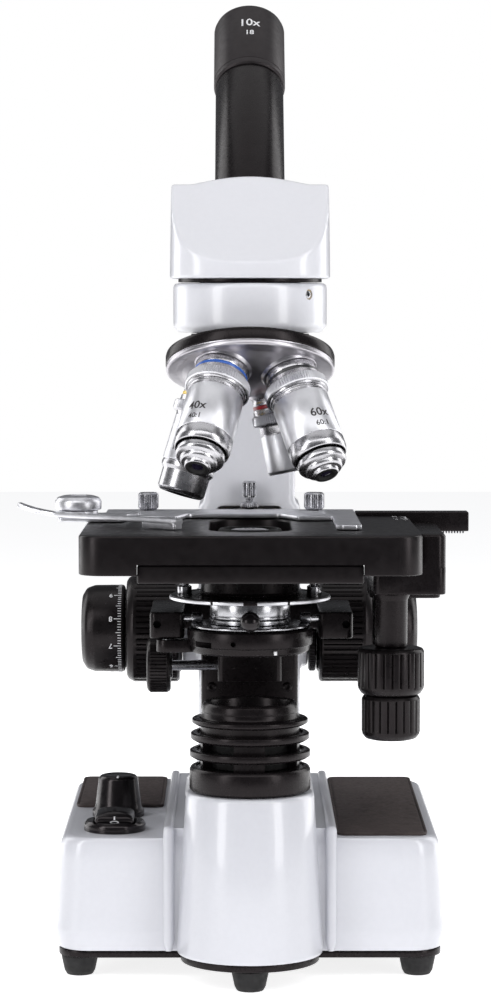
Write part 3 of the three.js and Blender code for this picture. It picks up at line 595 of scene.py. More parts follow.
def build_base():
    X, Y1, R = 75.0, 144.0, 12.0
    ring = lambda i, z, r=R: ring3(-X + i, X - i, i * 0.3, Y1 - i, r, z, 10)
    rings = [ring(1.7, 11.0), ring(1.2, 11.35), ring(0.25, 17.2), ring(0.0, 18.2), ring(0.05, 19.2)]
    rings += [ring(2.25 * (z - 11) / 41.5, z) for z in (24, 31, 38, 45, 52.2)]
    for a in (12, 25, 40, 55, 72, 90):
        t = radians(a)
        rings.append(ring(2.25 + 0.2 + 3.6 * (1 - cos(t)), 56 - 3.6 * (1 - sin(t))))
    rings = [[(x, y, z + fall(y, z)) for x, y, z in r] for r in rings]
    wings = loft(Part(), rings)
    deck = slab(Part(), rrect(-31, 31, 1.0, 142.4, 4, 6), [], [(0.3, 20), (0, 21), (0, 58.1)])
    ribs = []
    for s in (-1, 1):
        x0, x1 = (28.9, 33.1) if s > 0 else (-33.1, -28.9)
        ribs.append(slab(Part(), rrect(x0, x1, -2.6, 142.8, 1.95, 6), [], [(0.9, 11.2), (0.1, 14), (0.0, 18), (0.0, 57.2), (0.2, 58.1), (0.7, 58.9), (1.3, 59.25), (1.75, 59.3)]))
    bulge = turn(Part(), [(0, 11), (27.6, 11, 0.3), (28, 12.2, 0.6), (24.45, 71.4, 0.8), (23.7, 72.7, 0.8), (19.9, 73), (19.4, 72.4), (0, 72.4)], n=120, e=0.3)
    pocket = Part()
    turn(pocket, [(0, 40), (11, 40), (11, 60), (0, 60)], shift(-52.2, 20, 0), n=48, e=0)
    turn(pocket, [(0, 40), (3.4, 40), (3.4, 60), (0, 60)], shift(-52, 51, 0), n=24, e=0)
    turn(pocket, [(0, -8), (5.8, -8), (5.8, 8), (0, 8)], place((22, 144, 30), (0, 1, 0), (0, 0, 1)), n=32, e=0)
    P = csg(wings, ("UNION", deck), ("UNION", ribs[0]), ("UNION", ribs[1]), ("UNION", bulge), ("DIFFERENCE", pocket))
    # the base casting takes the darker copy of the white enamel, painted shade
    emit("base_casting", "base", ["base_housing"], P, [enamel_shaded_copy], 30)

    plate = slab(Part(), rrect(-73.5, 73.5, 1.5, 142.5, 10.5, 8), [], levels(8, 10.7, 0.5, 0.3, 2))
    disc = turn(Part(), [(0, 8), (26.5, 8, 0.5), (26.5, 10.7), (0, 10.7)], n=96)
    emit("base_cover_plate", "base", ["base_plate"], csg(plate, ("UNION", disc)), [black_satin])
    for n, x, y in (("front", 0, -18), ("left", -65.5, 12), ("right", 64.5, 12), ("rear_left", -62, 130), ("rear_right", 62, 130)):
        P = turn(Part(), [(0, 0.0), (1.6, 0.0), (1.9, 0.5), (4.3, 0.5, 0.1), (4.5, 0.0, 0.1), (5.0, 0.0, 1.0), (5.9, 1.6, 1.2), (7.1, 7.2, 0.4), (7.1, 7.7, 0.2), (0, 7.7)], shift(x, y, 0), n=48)
        emit("rubber_foot_" + n, "base", ["foot_" + n], P, [rubber])
    for n, x0, x1, y0, y1 in (("right", 33.3, 68, 5.5, 136), ("left", -69.6, -34.4, 67.5, 137)):
        P = slab(Part(), rrect(x0, x1, y0, y1, 3.5, 6), [], [(0.25, 56.0), (0, 56.5), (0, 57.05), (0.15, 57.2), (0.7, 57.2), (0.85, 56.95), (1.25, 56.95), (1.4, 57.2), (1.6, 57.3)])
        P.v = [(x, y, z + fall(y, z)) for x, y, z in P.v]
        emit("rest_pad_" + n, "base", ["pad_" + n], P, [pad_mat, black_satin])
    M = place((22, 144, 30), (0, 1, 0), (0, 0, 1))
    P = turn(Part(), [(2.6, -8), (5.5, -8), (5.5, 0.3), (7.2, 0.3), (7.2, 1.25, 0.4), (3.6, 1.3, 0.2), (3.4, 0.2), (2.6, 0.2)], M, n=56)
    turn(P, [(0, -7.6), (0.9, -7.6), (0.9, -0.6, 0.35), (0, -0.4)], M, n=24, mat=1)
    emit("inlet_socket", "base", ["power_inlet"], P, [black_plastic, metal("steel", (0, 1, 0), "y")])

    # round switch: bezel with a square window and the paddle that rocks in it
    S = shift(-52.2, 20, 0)
    body = turn(Part(), [(0, 42), (10.6, 42), (10.6, 54.1), (11.9, 54.1, 0.15), (11.9, 57.0, 0.5), (10.9, 58.35, 0.4), (9.7, 58.4), (0, 58.4)], S, n=96)
    win = slab(Part(), rrect(-8, 8, -8.6, 8.6, 1.4, 4), [], [(0, 45), (0, 57.8), (-0.35, 58.2), (-0.4, 60)], S)
    emit("switch_bezel", "base", ["switch_body"], csg(body, ("DIFFERENCE", win)), [black_gloss])
    T = shift(-52.2, 20, 54) @ Matrix.Rotation(radians(6), 4, "X") @ shift(0, 0, -54)
    rings = [ring3(-7.6, 7.6, -6.6, 6.6, 1.0, 48.5, 5), ring3(-7.6, 7.6, -6.8, 6.8, 1.0, 58.0, 5), ring3(-7.45, 7.45, -6.78, 6.78, 1.1, 58.6, 5)]
    for q in (0, 12, 24, 36, 48, 58, 68, 77, 85):
        t = radians(q)
        rings.append(ring3(-7.5 * cos(t) ** 0.7, 7.5 * cos(t) ** 0.7, -6.75 + 3.4 * sin(t) ** 3, 6.75 - 3.4 * sin(t) ** 3, 1.0 + 1.2 * sin(t) * (q < 70), 59.4 + 3.3 * sin(t), 5) if q < 70 else
                     ring3(-7.5 * cos(t) ** 0.7, 7.5 * cos(t) ** 0.7, -6.75 + 3.4 * sin(t) ** 3, 6.75 - 3.4 * sin(t) ** 3, min(1.6, 7.4 * cos(t) ** 0.7), 59.4 + 3.3 * sin(t), 5))
    P = loft(Part(), rings, T)
    front = lambda z: -6.8 + 3.4 * max(0.0, min(1.0, (z - 59.4) / 3.3)) ** 3
    face = lambda x0, z0: (lambda u, v, w: tuple(T @ Vector((x0 + u, front(z0 + v) - 0.03 - w, z0 + v))))
    for z in (60.1, 60.5, 60.9, 61.3, 61.7):
        y = 0.5 * (front(z) + front(z + 0.4)) - 0.07
        brick(P, -0.2, 0.4, -0.05, 0.05, 0, 0.42, 0.04, 0.01, T @ shift(0, y, z) @ Matrix.Rotation(atan2(front(z + 0.4) - front(z), 0.4) * -1, 4, "X"), 1, 2)
    loop = [(0.1 + 1.75 * cos(2 * pi * i / 36), 59.15 + 0.62 * sin(2 * pi * i / 36)) for i in range(36)]
    hole = [(0.1 + 1.2 * cos(2 * pi * i / 36), 59.15 + 0.3 * sin(2 * pi * i / 36)) for i in range(36)]
    F = T @ Matrix(((1, 0, 0, 0), (0, 0, -1, -6.84), (0, 1, 0, 0), (0, 0, 0, 1)))
    slab(P, loop, [hole], [(0, -0.02), (0, 0.02)], F, 1)
    emit("switch_paddle", "rocker", ["switch_rocker"], P, [black_gloss, white_ink])
    K = shift(-52, 51, 0)
    P = turn(Part(), [(0, 44), (3, 44), (3, 54.6), (10.25, 54.6, 0.15), (10.25, 57.2, 0.5), (9.35, 58.3, 0.5), (8.9, 60.4, 1.2), (7.75, 69.9, 0.5), (7.0, 71.0, 0.6), (5.9, 71.3, 0.2), (5.6, 71.0), (0, 71.0)], K, n=96)
    brick(P, -0.45, 0.45, -7.2, -3.4, 70.8, 71.25, 0.2, 0.1, K, 1)
    emit("dimmer_knob", "dimmer", ["brightness_knob"], P, [black_gloss, white_ink])


# ------------------------------------------------------------------ lamp
def build_lamp():
    band = turn(Part(), [(4, 73.3), (22.4, 73.3, 0.1), (23, 74.0, 0.3), (23, 81.3, 0.3), (22.3, 82.4, 0.2), (20.9, 82.5, 0.2), (20.4, 81.9), (15.2, 81.9), (13.4, 81.9), (13.4, 78.5), (4, 78.5)], n=128)
    parts = []
    for z0, z1, r in ((85.6, 88.9, 22.9), (92.2, 95.4, 22.5)):
        parts.append(turn(Part(), [(14.4, z0), (r - 1.5, z0, 0.2), (r, z0 + 0.9, 0.3), (r, z1 - 0.35, 0.3), (r - 0.6, z1, 0.2), (r - 2.4, z1, 0.15), (r - 3.0, z1 - 0.5), (14.4, z1 - 0.5)], n=128))
    parts.append(turn(Part(), [(13.4, 95.0), (18.9, 95.0), (18.6, 98.4, 0.2), (20.6, 98.4, 0.2), (22, 99.2, 0.3), (22, 100.5, 0.3), (21.4, 100.9, 0.2), (19.3, 100.9, 0.4), (18.7, 101.4, 0.4), (18.2, 103.2, 0.1), (18.35, 103.5, 0.1), (17.95, 106.0, 0.5), (17.2, 107, 0.35), (16.1, 107, 0.2), (15.5, 106.2, 0.3), (15.4, 99.2), (13.4, 99.2)], n=128))
    for a in (0, 90, 180, 270):
        arc = [(18.8 * cos(radians(a + d)), 18.8 * sin(radians(a + d))) for d in range(-19, 20, 4)] + [(15.0 * cos(radians(a + d)), 15.0 * sin(radians(a + d))) for d in range(17, -21, -4)]
        parts.append(slab(Part(), arc, [], [(0, 81.4), (0, 96)]))
    P = csg(band, *[("UNION", q) for q in parts])
    turn(P, [(13.5, 82.2), (14.9, 82.2), (14.9, 95.2), (13.5, 95.2)], n=64, e=0.05, mat=1)
    turn(P, [(0, 78.55), (13.0, 78.55), (13.0, 78.75), (0, 78.75)], n=48, e=0, mat=1)
    emit("lamp_tower", "base", ["lamp_housing"], P, [black_satin, hole_dark])
    P = turn(Part(), [(0, 99.5), (15, 99.5, 0.2), (15, 101.0, 0.3), (13.5, 101.9, 2), (10, 103.2, 6), (6, 104.1, 6), (0, 104.4)], n=72, fs=5)
    emit("lamp_collector_lens", "base", ["lamp_lens"], P, [glass], 50)
    P = turn(Part(), [(0, 78.8), (12, 78.8), (12, 80.4, 0.1), (0, 80.4)], n=48)
    turn(P, [(0, 80.42), (4, 80.42), (4, 81.4, 0.2), (3.4, 81.9, 0.2), (3.2, 82.6, 1), (2.2, 83.6, 1), (0, 84)], n=32, mat=1)
    for a in range(0, 360, 60):
        x, y = 8 * cos(radians(a)), 8 * sin(radians(a))
        brick(P, x - 1, x + 1, y - 0.6, y + 0.6, 80.42, 81.1, 0.15, 0.1, None, 2)
    emit("lamp_emitter_board", "base", ["led_board"], P, [pcb, led_yellow, metal("steel", (0, 0, 1), "z")])


# ------------------------------------------------------------------ arm
def bezier(p0, p1, p2, p3, n=14):
    out = []
    for i in range(1, n + 1):
        t = i / n
        out.append(tuple((1 - t) ** 3 * a + 3 * (1 - t) ** 2 * t * b + 3 * (1 - t) * t * t * c + t ** 3 * d for a, b, c, d in zip(p0, p1, p2, p3)))
    return out


CLAMP = Vector((21.9, -18.9, 0)).normalized()


def build_arm():
    y0, y1 = 72.0, 112.0
    prof = [(y0, 150), (y1, 150), (y1 - 0.5, 190)] + bezier((y1 - 0.5, 190), (y1 - 2, 242), (82, 264.5), (36, 264.8), 20)
    prof += [(4, 264.8), (4, 248), (27, 248)] + bezier((27, 248), (56, 247), (y0, 236), (y0, 206), 14)
    upper = slab(Part(), prof, [], levels(-18.4, 18.4, 3.4, 3.4, 4), SIDE)
    hl = 20.5
    rings = [ring3(-27.5, 27.5, y0 - 7, y1 + 12, 7, 59.0, 5), ring3(-26, 26, y0 - 5.2, y1 + 9, 6.6, 60.4, 5), ring3(-24.0, 24.0, y0 - 3.1, y1 + 5, 6, 62.8, 5),
             ring3(-22.2, 22.2, y0 - 1.4, y1 + 2, 5, 67, 5), ring3(-21, 21, y0 - 0.3, y1 + 0.5, 4, 75, 5), ring3(-hl, hl, y0, y1, 4, 85, 5),
             ring3(-hl, hl, y0, y1, 4, 175.5, 5), ring3(-hl + 0.4, hl - 0.4, y0 + 0.1, y1 - 0.2, 4, 176.9, 5), ring3(-18.9, 18.9, y0 + 0.6, y1 - 0.6, 4, 177.7, 5)]
    lower = loft(Part(), rings)
    ring = turn(Part(), [(0, 246.7), (26.6, 246.7, 0.6), (28.9, 249.2, 1.2), (28.9, 264.5, 0.7), (28.0, 265.3, 0.3), (0, 265.3)], n=128)
    boss = Part()
    X = along_x(88, 125.7)
    turn(boss, [(0, -26.9), (15.5, -26.9, 0.8), (15.5, -17), (0, -17)], X, n=72)
    boss2 = turn(Part(), [(0, 17), (15.5, 17), (15.5, 23.7, 0.8), (9, 23.7, 0.3), (9, 26.9, 0.3), (0, 26.9)], X, n=72)
    cuts = turn(Part(), [(0, 240), (12, 240), (12, 270), (0, 270)], n=48, e=0)
    seat = turn(Part(), [(0, 255.5), (19.4, 255.5), (19.4, 270), (0, 270)], n=72, e=0)
    slot = slab(Part(), rrect(-12.5, 12.5, y0 - 3, y0 + 28, 0.5, 2), [], [(0, 90), (0, 176.5)])
    shaft = turn(Part(), [(0, -32), (5.6, -32), (5.6, 32), (0, 32)], X, n=48, e=0)
    P = csg(upper, ("UNION", lower), ("UNION", ring), ("UNION", boss), ("UNION", boss2), ("DIFFERENCE", cuts), ("DIFFERENCE", seat), ("DIFFERENCE", slot))
    P = soften(P, 0.95, 3)
    hole = turn(Part(), [(0, 17), (1.95, 17), (1.95, 32), (0, 32)], place((0, 0, 261), CLAMP, (0, 0, 1)), n=32, e=0)
    clear = slab(Part(), rrect(-12.3, 12.3, y0 - 3, y0 + 28, 0.5, 2), [], [(0, 88.6), (0, 176.3)])
    P = csg(P, ("DIFFERENCE", hole), ("DIFFERENCE", shaft), ("DIFFERENCE", clear))
    emit("arm_casting", "base", ["arm"], P, [enamel], 28)
    M = place((0, 0, 261), CLAMP, (0, 0, 1))
    screw = turn(Part(), [(0, 20.2), (1.55, 20.2, 0.3), (1.55, 28.5, 0.2), (0, 28.7)], M, n=40)
    hexa = slab(Part(), circle(0, 0, 0.85, 6), [], [(0, 26.4), (0, 30)], M)
    P = csg(screw, ("DIFFERENCE", hexa))
    turn(P, [(1.58, 27.7), (1.9, 27.7), (1.9, 28.35), (1.58, 28.35)], M, n=40, e=0.05, mat=1)
    emit("clamp_grub_screw", "base", ["head_clamp_screw"], P, [metal("steel", CLAMP, "c"), metal("brass", CLAMP, "c")])


# ------------------------------------------------------------------ focus drive
def build_focus():
    Mr = along_x(88, 125.7)
    Ml = Mr @ Matrix.Rotation(pi, 4, "Y")  # local +Z runs outwards to the left
    R, x0, x1, x2 = 21.7, 27.3, 49.7, 68.0
    ribs = (60, 0.75, "groove", 6)
    def coarse(bore):
        return [(bore, x0), (R - 5, x0, 0.3), (R - 3.6, x0 + 1, 0.3), (R - 0.8, x0 + 1, 0.4), (R, x0 + 1.9, 0.3, 0), (R, x0 + 2.6, 0.1, 0, ribs), (R, x1 - 4.4, 0.1, 0), (R, x1 - 3.0, 0.5), (R - 1.2, x1 - 0.8, 0.5), (R - 2.6, x1, 0.3), (R - 3.2, x1 - 0.4, 0.1), (bore, x1 - 0.4)]
    for side, M, bore in (("left", Ml, 3.5), ("right", Mr, 5.5)):
        P = turn(Part(), coarse(bore), M, n=90)
        if side == "left":
            turn(P, [(3.5, -x1 + 4), (5.2, -x1 + 4), (5.2, x1 - 6), (3.5, x1 - 6)], Mr, n=40, mat=1)
            teeth = slab(Part(), [(7.0 * cos(2 * pi * i / 72) * (1 if i % 4 < 2 else 0.84), 7.0 * sin(2 * pi * i / 72) * (1 if i % 4 < 2 else 0.84)) for i in range(72)], [circle(0, 0, 3.5, 36)], [(0, -7.5), (0, 7.5)], Mr, 1)
            P.put(teeth.v, teeth.f, teeth.m)
        emit("coarse_focus_knob_" + side, "coarse_knobs", ["coarse_knob_" + side], P, [black_plastic, metal("steel", (1, 0, 0), "x")])
        r = 17.7
        prof = [(0, x1 + 0.3), (r - 2.4, x1 + 0.3, 0.2), (r - 0.4, x1 + 0.9, 0.3), (r, x1 + 1.8, 0.4), (r - 0.15, x2 - 5.4, 2.5), (r - 1.3, x2 - 2.1, 2.5), (r - 4.2, x2 - 0.35, 2.5), (r - 7, x2 - 0.05, 0.4), (r - 7.4, x2 - 0.5, 0.3), (0, x2 - 0.5)]
        P = turn(Part(), prof, M, n=128, fs=6)
        if side == "left":
            turn(P, [(0, -x1 - 9), (3.2, -x1 - 9), (3.2, x1 + 2), (0, x1 + 2)], M, n=32, mat=1)
        for i in range(100):
            a, long_ = 2 * pi * i / 100, i % 10 == 0
            w = 2.9 if long_ else (2.1 if i % 5 == 0 else 1.35)
            T = M @ Matrix.Rotation(a, 4, "Z")
            slab(P, [(r - 0.03, -0.13), (r + 0.05, -0.13), (r + 0.05, 0.13), (r - 0.03, 0.13)], [], [(0, x1 + 1.95), (0, x1 + 1.95 + w)], T, 2)
            if long_:
                up = 1
                lettering(P, str(i // 10), 3.0, on_cylinder(M, r + 0.0, a, x1 + 6.1, up, spin=pi / 2), 2, step=0.45)
        emit("fine_focus_knob_" + side, "fine_knobs", ["fine_knob_" + side], P, [black_plastic, metal("steel", (1, 0, 0), "x"), white_ink])
    P = turn(Part(), [(9.3, 24), (16.6, 24, 0.3), (17.4, 24.5, 0.2, 0, (72, 0.3, "knurl", 5)), (17.4, 26.4, 0.2), (16.9, 26.9, 0.2), (9.3, 26.9)], Mr, n=72)
    emit("tension_adjust_collar", "tension_collar", ["tension_collar"], P, [black_plastic])
    teeth, z = [], 101.0
    while z < 161.5:
        teeth += [(80.6, z), (80.6, z + 0.6), (79.4, z + 0.85), (79.4, z + 1.35)]
        z += 1.6
    P = slab(Part(), [(72.0, 100), (79.4, 100)] + teeth + [(79.4, 163), (72.0, 163)], [], levels(-8, 8, 0.2, 0.2, 1), SIDE)
    emit("focus_gear_rack", "stage_carriage", ["focus_rack"], P, [metal("brass", (0, 0, 1), "z")])


# ------------------------------------------------------------------ stage
def build_stage():
    plate = slab(Part(), rrect(-19.1, 19.1, 48, 71.7, 2.0, 5), [], levels(97, 163.6, 1.0, 0.6, 3))
    lug = slab(Part(), rrect(-6, 6, 63.3, 71.7, 2.4, 5), [], levels(160, 175.8, 0.2, 0.6, 3))
    bore = turn(Part(), [(0, 168), (1.9, 168), (1.9, 180), (0, 180)], shift(0, 67.4, 0), n=24, e=0)
    P = csg(plate, ("UNION", lug), ("DIFFERENCE", bore))
    for x in (-15, 15):
        M = place((x, 48.5, 106.5), (0, -1, 0), (0, 0, 1))
        turn(P, [(0, 0), (1.9, 0), (1.9, 0.9, 0.3), (1.2, 1.6, 0.2), (0.85, 1.6, 0.05), (0.85, 0.9), (0, 0.9)], M, n=32, mat=0)
    emit("carriage_block", "stage_carriage", ["stage_carriage"], P, [black_satin, metal("steel", (0, 1, 0), "y")])
    K = shift(0, 67.4, 0)
    steel = metal("steel", (0, 0, 1), "z")
    thread = [(0, 169.5), (1.6, 169.5)]
    z = 170.0
    while z < 179.6:
        thread += [(1.6, z, 0), (1.38, z + 0.25, 0), (1.6, z + 0.5, 0)]
        z += 0.5
    P = turn(Part(), thread + [(1.6, 180.2, 0.05), (2.2, 180.3, 0.1), (2.8, 181.0, 0.2, 0, (20, 0.42, "knurl", 6)), (2.8, 186.2, 0.2), (2.2, 186.9, 0.2), (0, 187)], K, n=40)
    emit("stage_stop_screw", "stage_carriage", ["stop_screw"], P, [steel])
    P = turn(Part(), [(1.9, 176.1), (3.1, 176.1, 0.1), (3.5, 176.5, 0.1, 0, (26, 0.3, "knurl", 6)), (3.5, 178.1, 0.1), (3.1, 178.5, 0.1), (1.9, 178.5)], K, n=40)
    emit("stage_stop_nut", "stage_carriage", ["stop_screw_nut"], P, [steel])
    P = slab(Part(), rrect(-40.85, 40.85, -60.5, 47.7, 0.8, 3), [circle(0, 0, 20, 72)], levels(157, 163.5, 0.7, 0.5, 3))
    emit("lower_stage_slide", "stage_carriage", ["stage_lower_plate"], P, [stage_black])

    full = slab(Part(), rrect(-62.2, 62.2, -62, 43, 9, 10), [outline([(-15.3, -42), (15.3, -42), (15.3, 30), (-15.3, 30)], 14, 10)], levels(159.9, 174.4, 0.5, 0.9, 4))
    pocket = slab(Part(), rrect(-57.2, 57.2, -57.5, 48, 4.5, 6), [], [(0, 158), (0, 163.9)])
    notch = slab(Part(), rrect(-41, 41, -67, -50, 0.8, 3), [], [(0, 158), (0, 163.9)])
    P = csg(full, ("DIFFERENCE", pocket), ("DIFFERENCE", notch))
    for x0, x1 in ((-57.1, -40.95), (40.95, 57.1)):
        brick(P, x0, x1, 39.5, 42.8, 160.2, 163.85, 0.2, 0.1)
    for i in range(9):
        y = 24 + i * 2.0
        brick(P, 60.0 - (1.6 if i % 4 == 0 else 0), 61.0, y - 0.12, y + 0.12, 174.35, 174.44, 0.05, 0.01, None, 1, 2)
    for i, t in enumerate(("0", "10", "20")):
        lettering(P, t, 2.2, (lambda yy: (lambda u, v, w: (56.6 + u, yy + v, 174.425 + w)))(24 + i * 8.0), 1, step=5)
    emit("upper_stage_plate", "stage_y", ["stage_upper_plate"], P, [stage_black, white_ink])

    a = slab(Part(), rrect(46, 73, -20, 43.5, 3, 6), [], levels(149.3, 159.6, 0.5, 0.4, 3))
    b = slab(Part(), rrect(62.55, 73, -20, 43.5, 3.6, 6), [], levels(151, 172, 0.4, 1.3, 4))
    c = slab(Part(), rrect(46, 73, 12, 43.5, 3, 6), [], levels(145, 155, 0.6, 0.4, 3))
    K = shift(53, -10, 0)
    d = turn(Part(), [(0, 129), (6.1, 129, 0.4), (6.2, 146.6, 0.6), (7.0, 148.4, 0.6), (7.0, 151), (0, 151)], K, n=72)
    e = turn(Part(), [(0, 120), (5, 120), (5, 150), (0, 150)], K, n=48, e=0)
    P = csg(a, ("UNION", b), ("UNION", c), ("UNION", d), ("DIFFERENCE", e))
    emit("xy_drive_block", "stage_y", ["stage_drive_housing"], P, [black_satin])
    P = turn(Part(), [(2.9, 111), (10.2, 111, 0.2), (11.2, 111.5, 0.5), (12.3, 113.2, 0.6), (12.5, 114.2, 0.2, 0, (24, 0.75, "groove", 8)), (12.5, 127.2, 0.3), (11.9, 128.3, 0.5), (10.8, 128.7, 0.3), (4.7, 128.7, 0.3), (4.7, 149), (2.9, 149)], K, n=64, e=0.1)
    emit("stage_y_control_knob", "stage_y_knob", ["stage_y_knob"], P, [black_plastic])
    P = turn(Part(), [(0, 94), (7.6, 94, 0.3), (9.6, 94.5, 1.0), (10.7, 96.0, 0.6), (11, 97.2, 0.3, 0, (22, 0.7, "groove", 8)), (11, 109.3, 0.3), (10.4, 110.4, 0.4), (9.8, 110.7, 0.2), (2.6, 110.7), (2.6, 148.5), (0, 148.5)], K, n=64, e=0.1)
    emit("stage_x_control_knob", "stage_x_knob", ["stage_x_knob"], P, [black_plastic])

    # X rail with its rack, and the specimen holder that it carries
    low = slab(Part(), [(44, 168.4), (53, 168.4), (53, 174.5), (44, 174.5), (44, 172.3), (44.7, 171.9), (44.7, 171.2), (44, 170.8)], [], levels(-58, 42.5, 0.4, 0.0, 2), SIDE)
    high = slab(Part(), outline([(44, 168.4), (53, 168.4), (53, 176), (44, 176)], 0.4, 3), [], levels(41.5, 86, 0.3, 0.5, 3), SIDE)
    P = csg(low, ("UNION", high))
    zig, x = [], 44.0
    while x < 84.0:
        zig += [(x, 167.6), (x + 0.45, 167.6), (x + 0.6, 168.6), (x + 0.95, 168.6)]
        x += 1.1
    XZ = Matrix(((1, 0, 0), (0, 0, 1), (0, 1, 0))).to_4x4()
    slab(P, zig + [(84.6, 168.6), (84.6, 169.6), (44, 169.6)], [], [(0, 44.3), (0, 47.0)], XZ, 1)
    emit("x_slide_rail", "stage_x", ["x_rail"], P, [black_satin, metal("steel", (1, 0, 0), "x")])
    s = outline([(-73, 5, 1.5), (-50, 5, 1), (-47.5, 8, 1), (-47.5, 24, 2), (-42, 30, 2), (-42, 13, 1.2), (-28, 13, 1.5), (-24, 28, 3), (11.5, 28, 3), (18.3, 13, 1.5), (31.6, 13, 0.8), (31.6, -33, 0.8), (34, -36, 0.8), (39, -36, 0.8), (41, -34, 0.8), (41, 53, 1), (-56, 53, 1), (-56, 34, 2), (-68, 30, 3), (-73, 22, 3)], 0.8, 5)
    P = slab(Part(), s, [circle(-39.8, 48, 2.3, 24), circle(25.4, 48, 2.3, 24), circle(-65.7, 15, 2.3, 24)], levels(174.8, 176.5, 0.2, 0.3, 2))
    alu = metal("satin", (0.3, 1, 0), "plate")
    emit("slide_holder_plate", "stage_x", ["specimen_holder"], P, [alu])
    for n, x in (("left", -39.8), ("right", 25.4)):
        P = turn(Part(), [(0, 174.8), (2, 174.8), (2, 176.8), (3.2, 176.8, 0.1), (4, 177.6, 0.2, 0, (24, 0.45, "knurl", 6)), (4, 182.8, 0.2), (3.2, 183.5, 0.3), (2.0, 183.6, 0.1), (1.8, 183.4), (0, 183.4)], shift(x, 48, 0), n=48)
        emit("holder_screw_" + n, "stage_x", ["holder_thumbscrew_" + n], P, [steel])
    # sprung finger: a flat bar whose free end is turned up as a handle
    path = [(-88.0, 9.2, 181.2), (-85.5, 8.4, 180.2), (-82.5, 7.4, 179.3), (-79, 6.3, 178.6), (-76, 5.4, 178.1), (-73.2, 4.2, 177.8), (-70.5, 2.2, 177.8), (-64, -3.3, 177.8), (-52, -13.3, 177.8), (-40, -23.3, 177.8), (-30, -31.7, 177.75), (-26.2, -34.9, 177.7)]
    rings, w, h = [], 2.55, 0.85
    for i, q in enumerate(path):
        a, b = Vector(path[max(i - 1, 0)]), Vector(path[min(i + 1, len(path) - 1)])
        t = (b - a).normalized()
        s_ = Vector((t.y, -t.x, 0)).normalized()
        u = s_.cross(t)
        if u.z < 0:
            u = -u
        ww = w * (0.62 if i == 0 else 0.9 if i == 1 else 0.8 if i == len(path) - 1 else 1.0)
        sec = fillet([(-ww, -h), (ww, -h), (ww, h), (-ww, h)], True, 0.3, 2)
        rings.append([tuple(Vector(q) + s_ * c0[0] + u * c0[1]) for c0 in sec])
    bar_ = loft(Part(), rings)
    lobe = slab(Part(), circle(-65.7, 15, 7.5, 56), [], levels(176.95, 178.7, 0.2, 0.3, 2))
    web = slab(Part(), outline([(-75.0, 3.6), (-66, -2.4), (-61.0, 14), (-69.5, 16.5)], 1.5, 4), [], levels(176.98, 178.64, 0.2, 0.2, 2))
    d_ = Vector((14, -11.7, 0)).normalized()
    jaw = slab(Part(), outline([(-39 + 2.2 * d_.y, -24.2 - 2.2 * d_.x), (-26.4 + 2.2 * d_.y, -34.7 - 2.2 * d_.x), (-26.4 - 2.2 * d_.y, -34.7 + 2.2 * d_.x), (-39 - 2.2 * d_.y, -24.2 + 2.2 * d_.x)], 0.8, 4), [], levels(174.9, 177.4, 0.2, 0.2, 2))
    bore = turn(Part(), [(0, 170), (2.3, 170), (2.3, 180), (0, 180)], shift(-65.7, 15, 0), n=32, e=0)
    P = csg(bar_, ("UNION", lobe), ("UNION", web), ("UNION", jaw), ("DIFFERENCE", bore))
    emit("sprung_slide_finger", "slide_finger", ["slide_finger"], P, [alu])
    P = turn(Part(), [(0, 174.8), (2, 174.8), (2, 179), (8.6, 179, 0.2), (8.9, 179.5, 0.2), (8.9, 182.2, 0.8), (7.9, 183.7, 1.2), (5.6, 184.4, 1.5), (3.4, 184.5, 0.2), (3.1, 184.1), (0, 184.1)], shift(-65.7, 15, 0), n=80, fs=4)
    emit("finger_pivot_dome", "stage_x", ["finger_pivot_cap"], P, [metal("satin", (0, 0, 1), "z")])


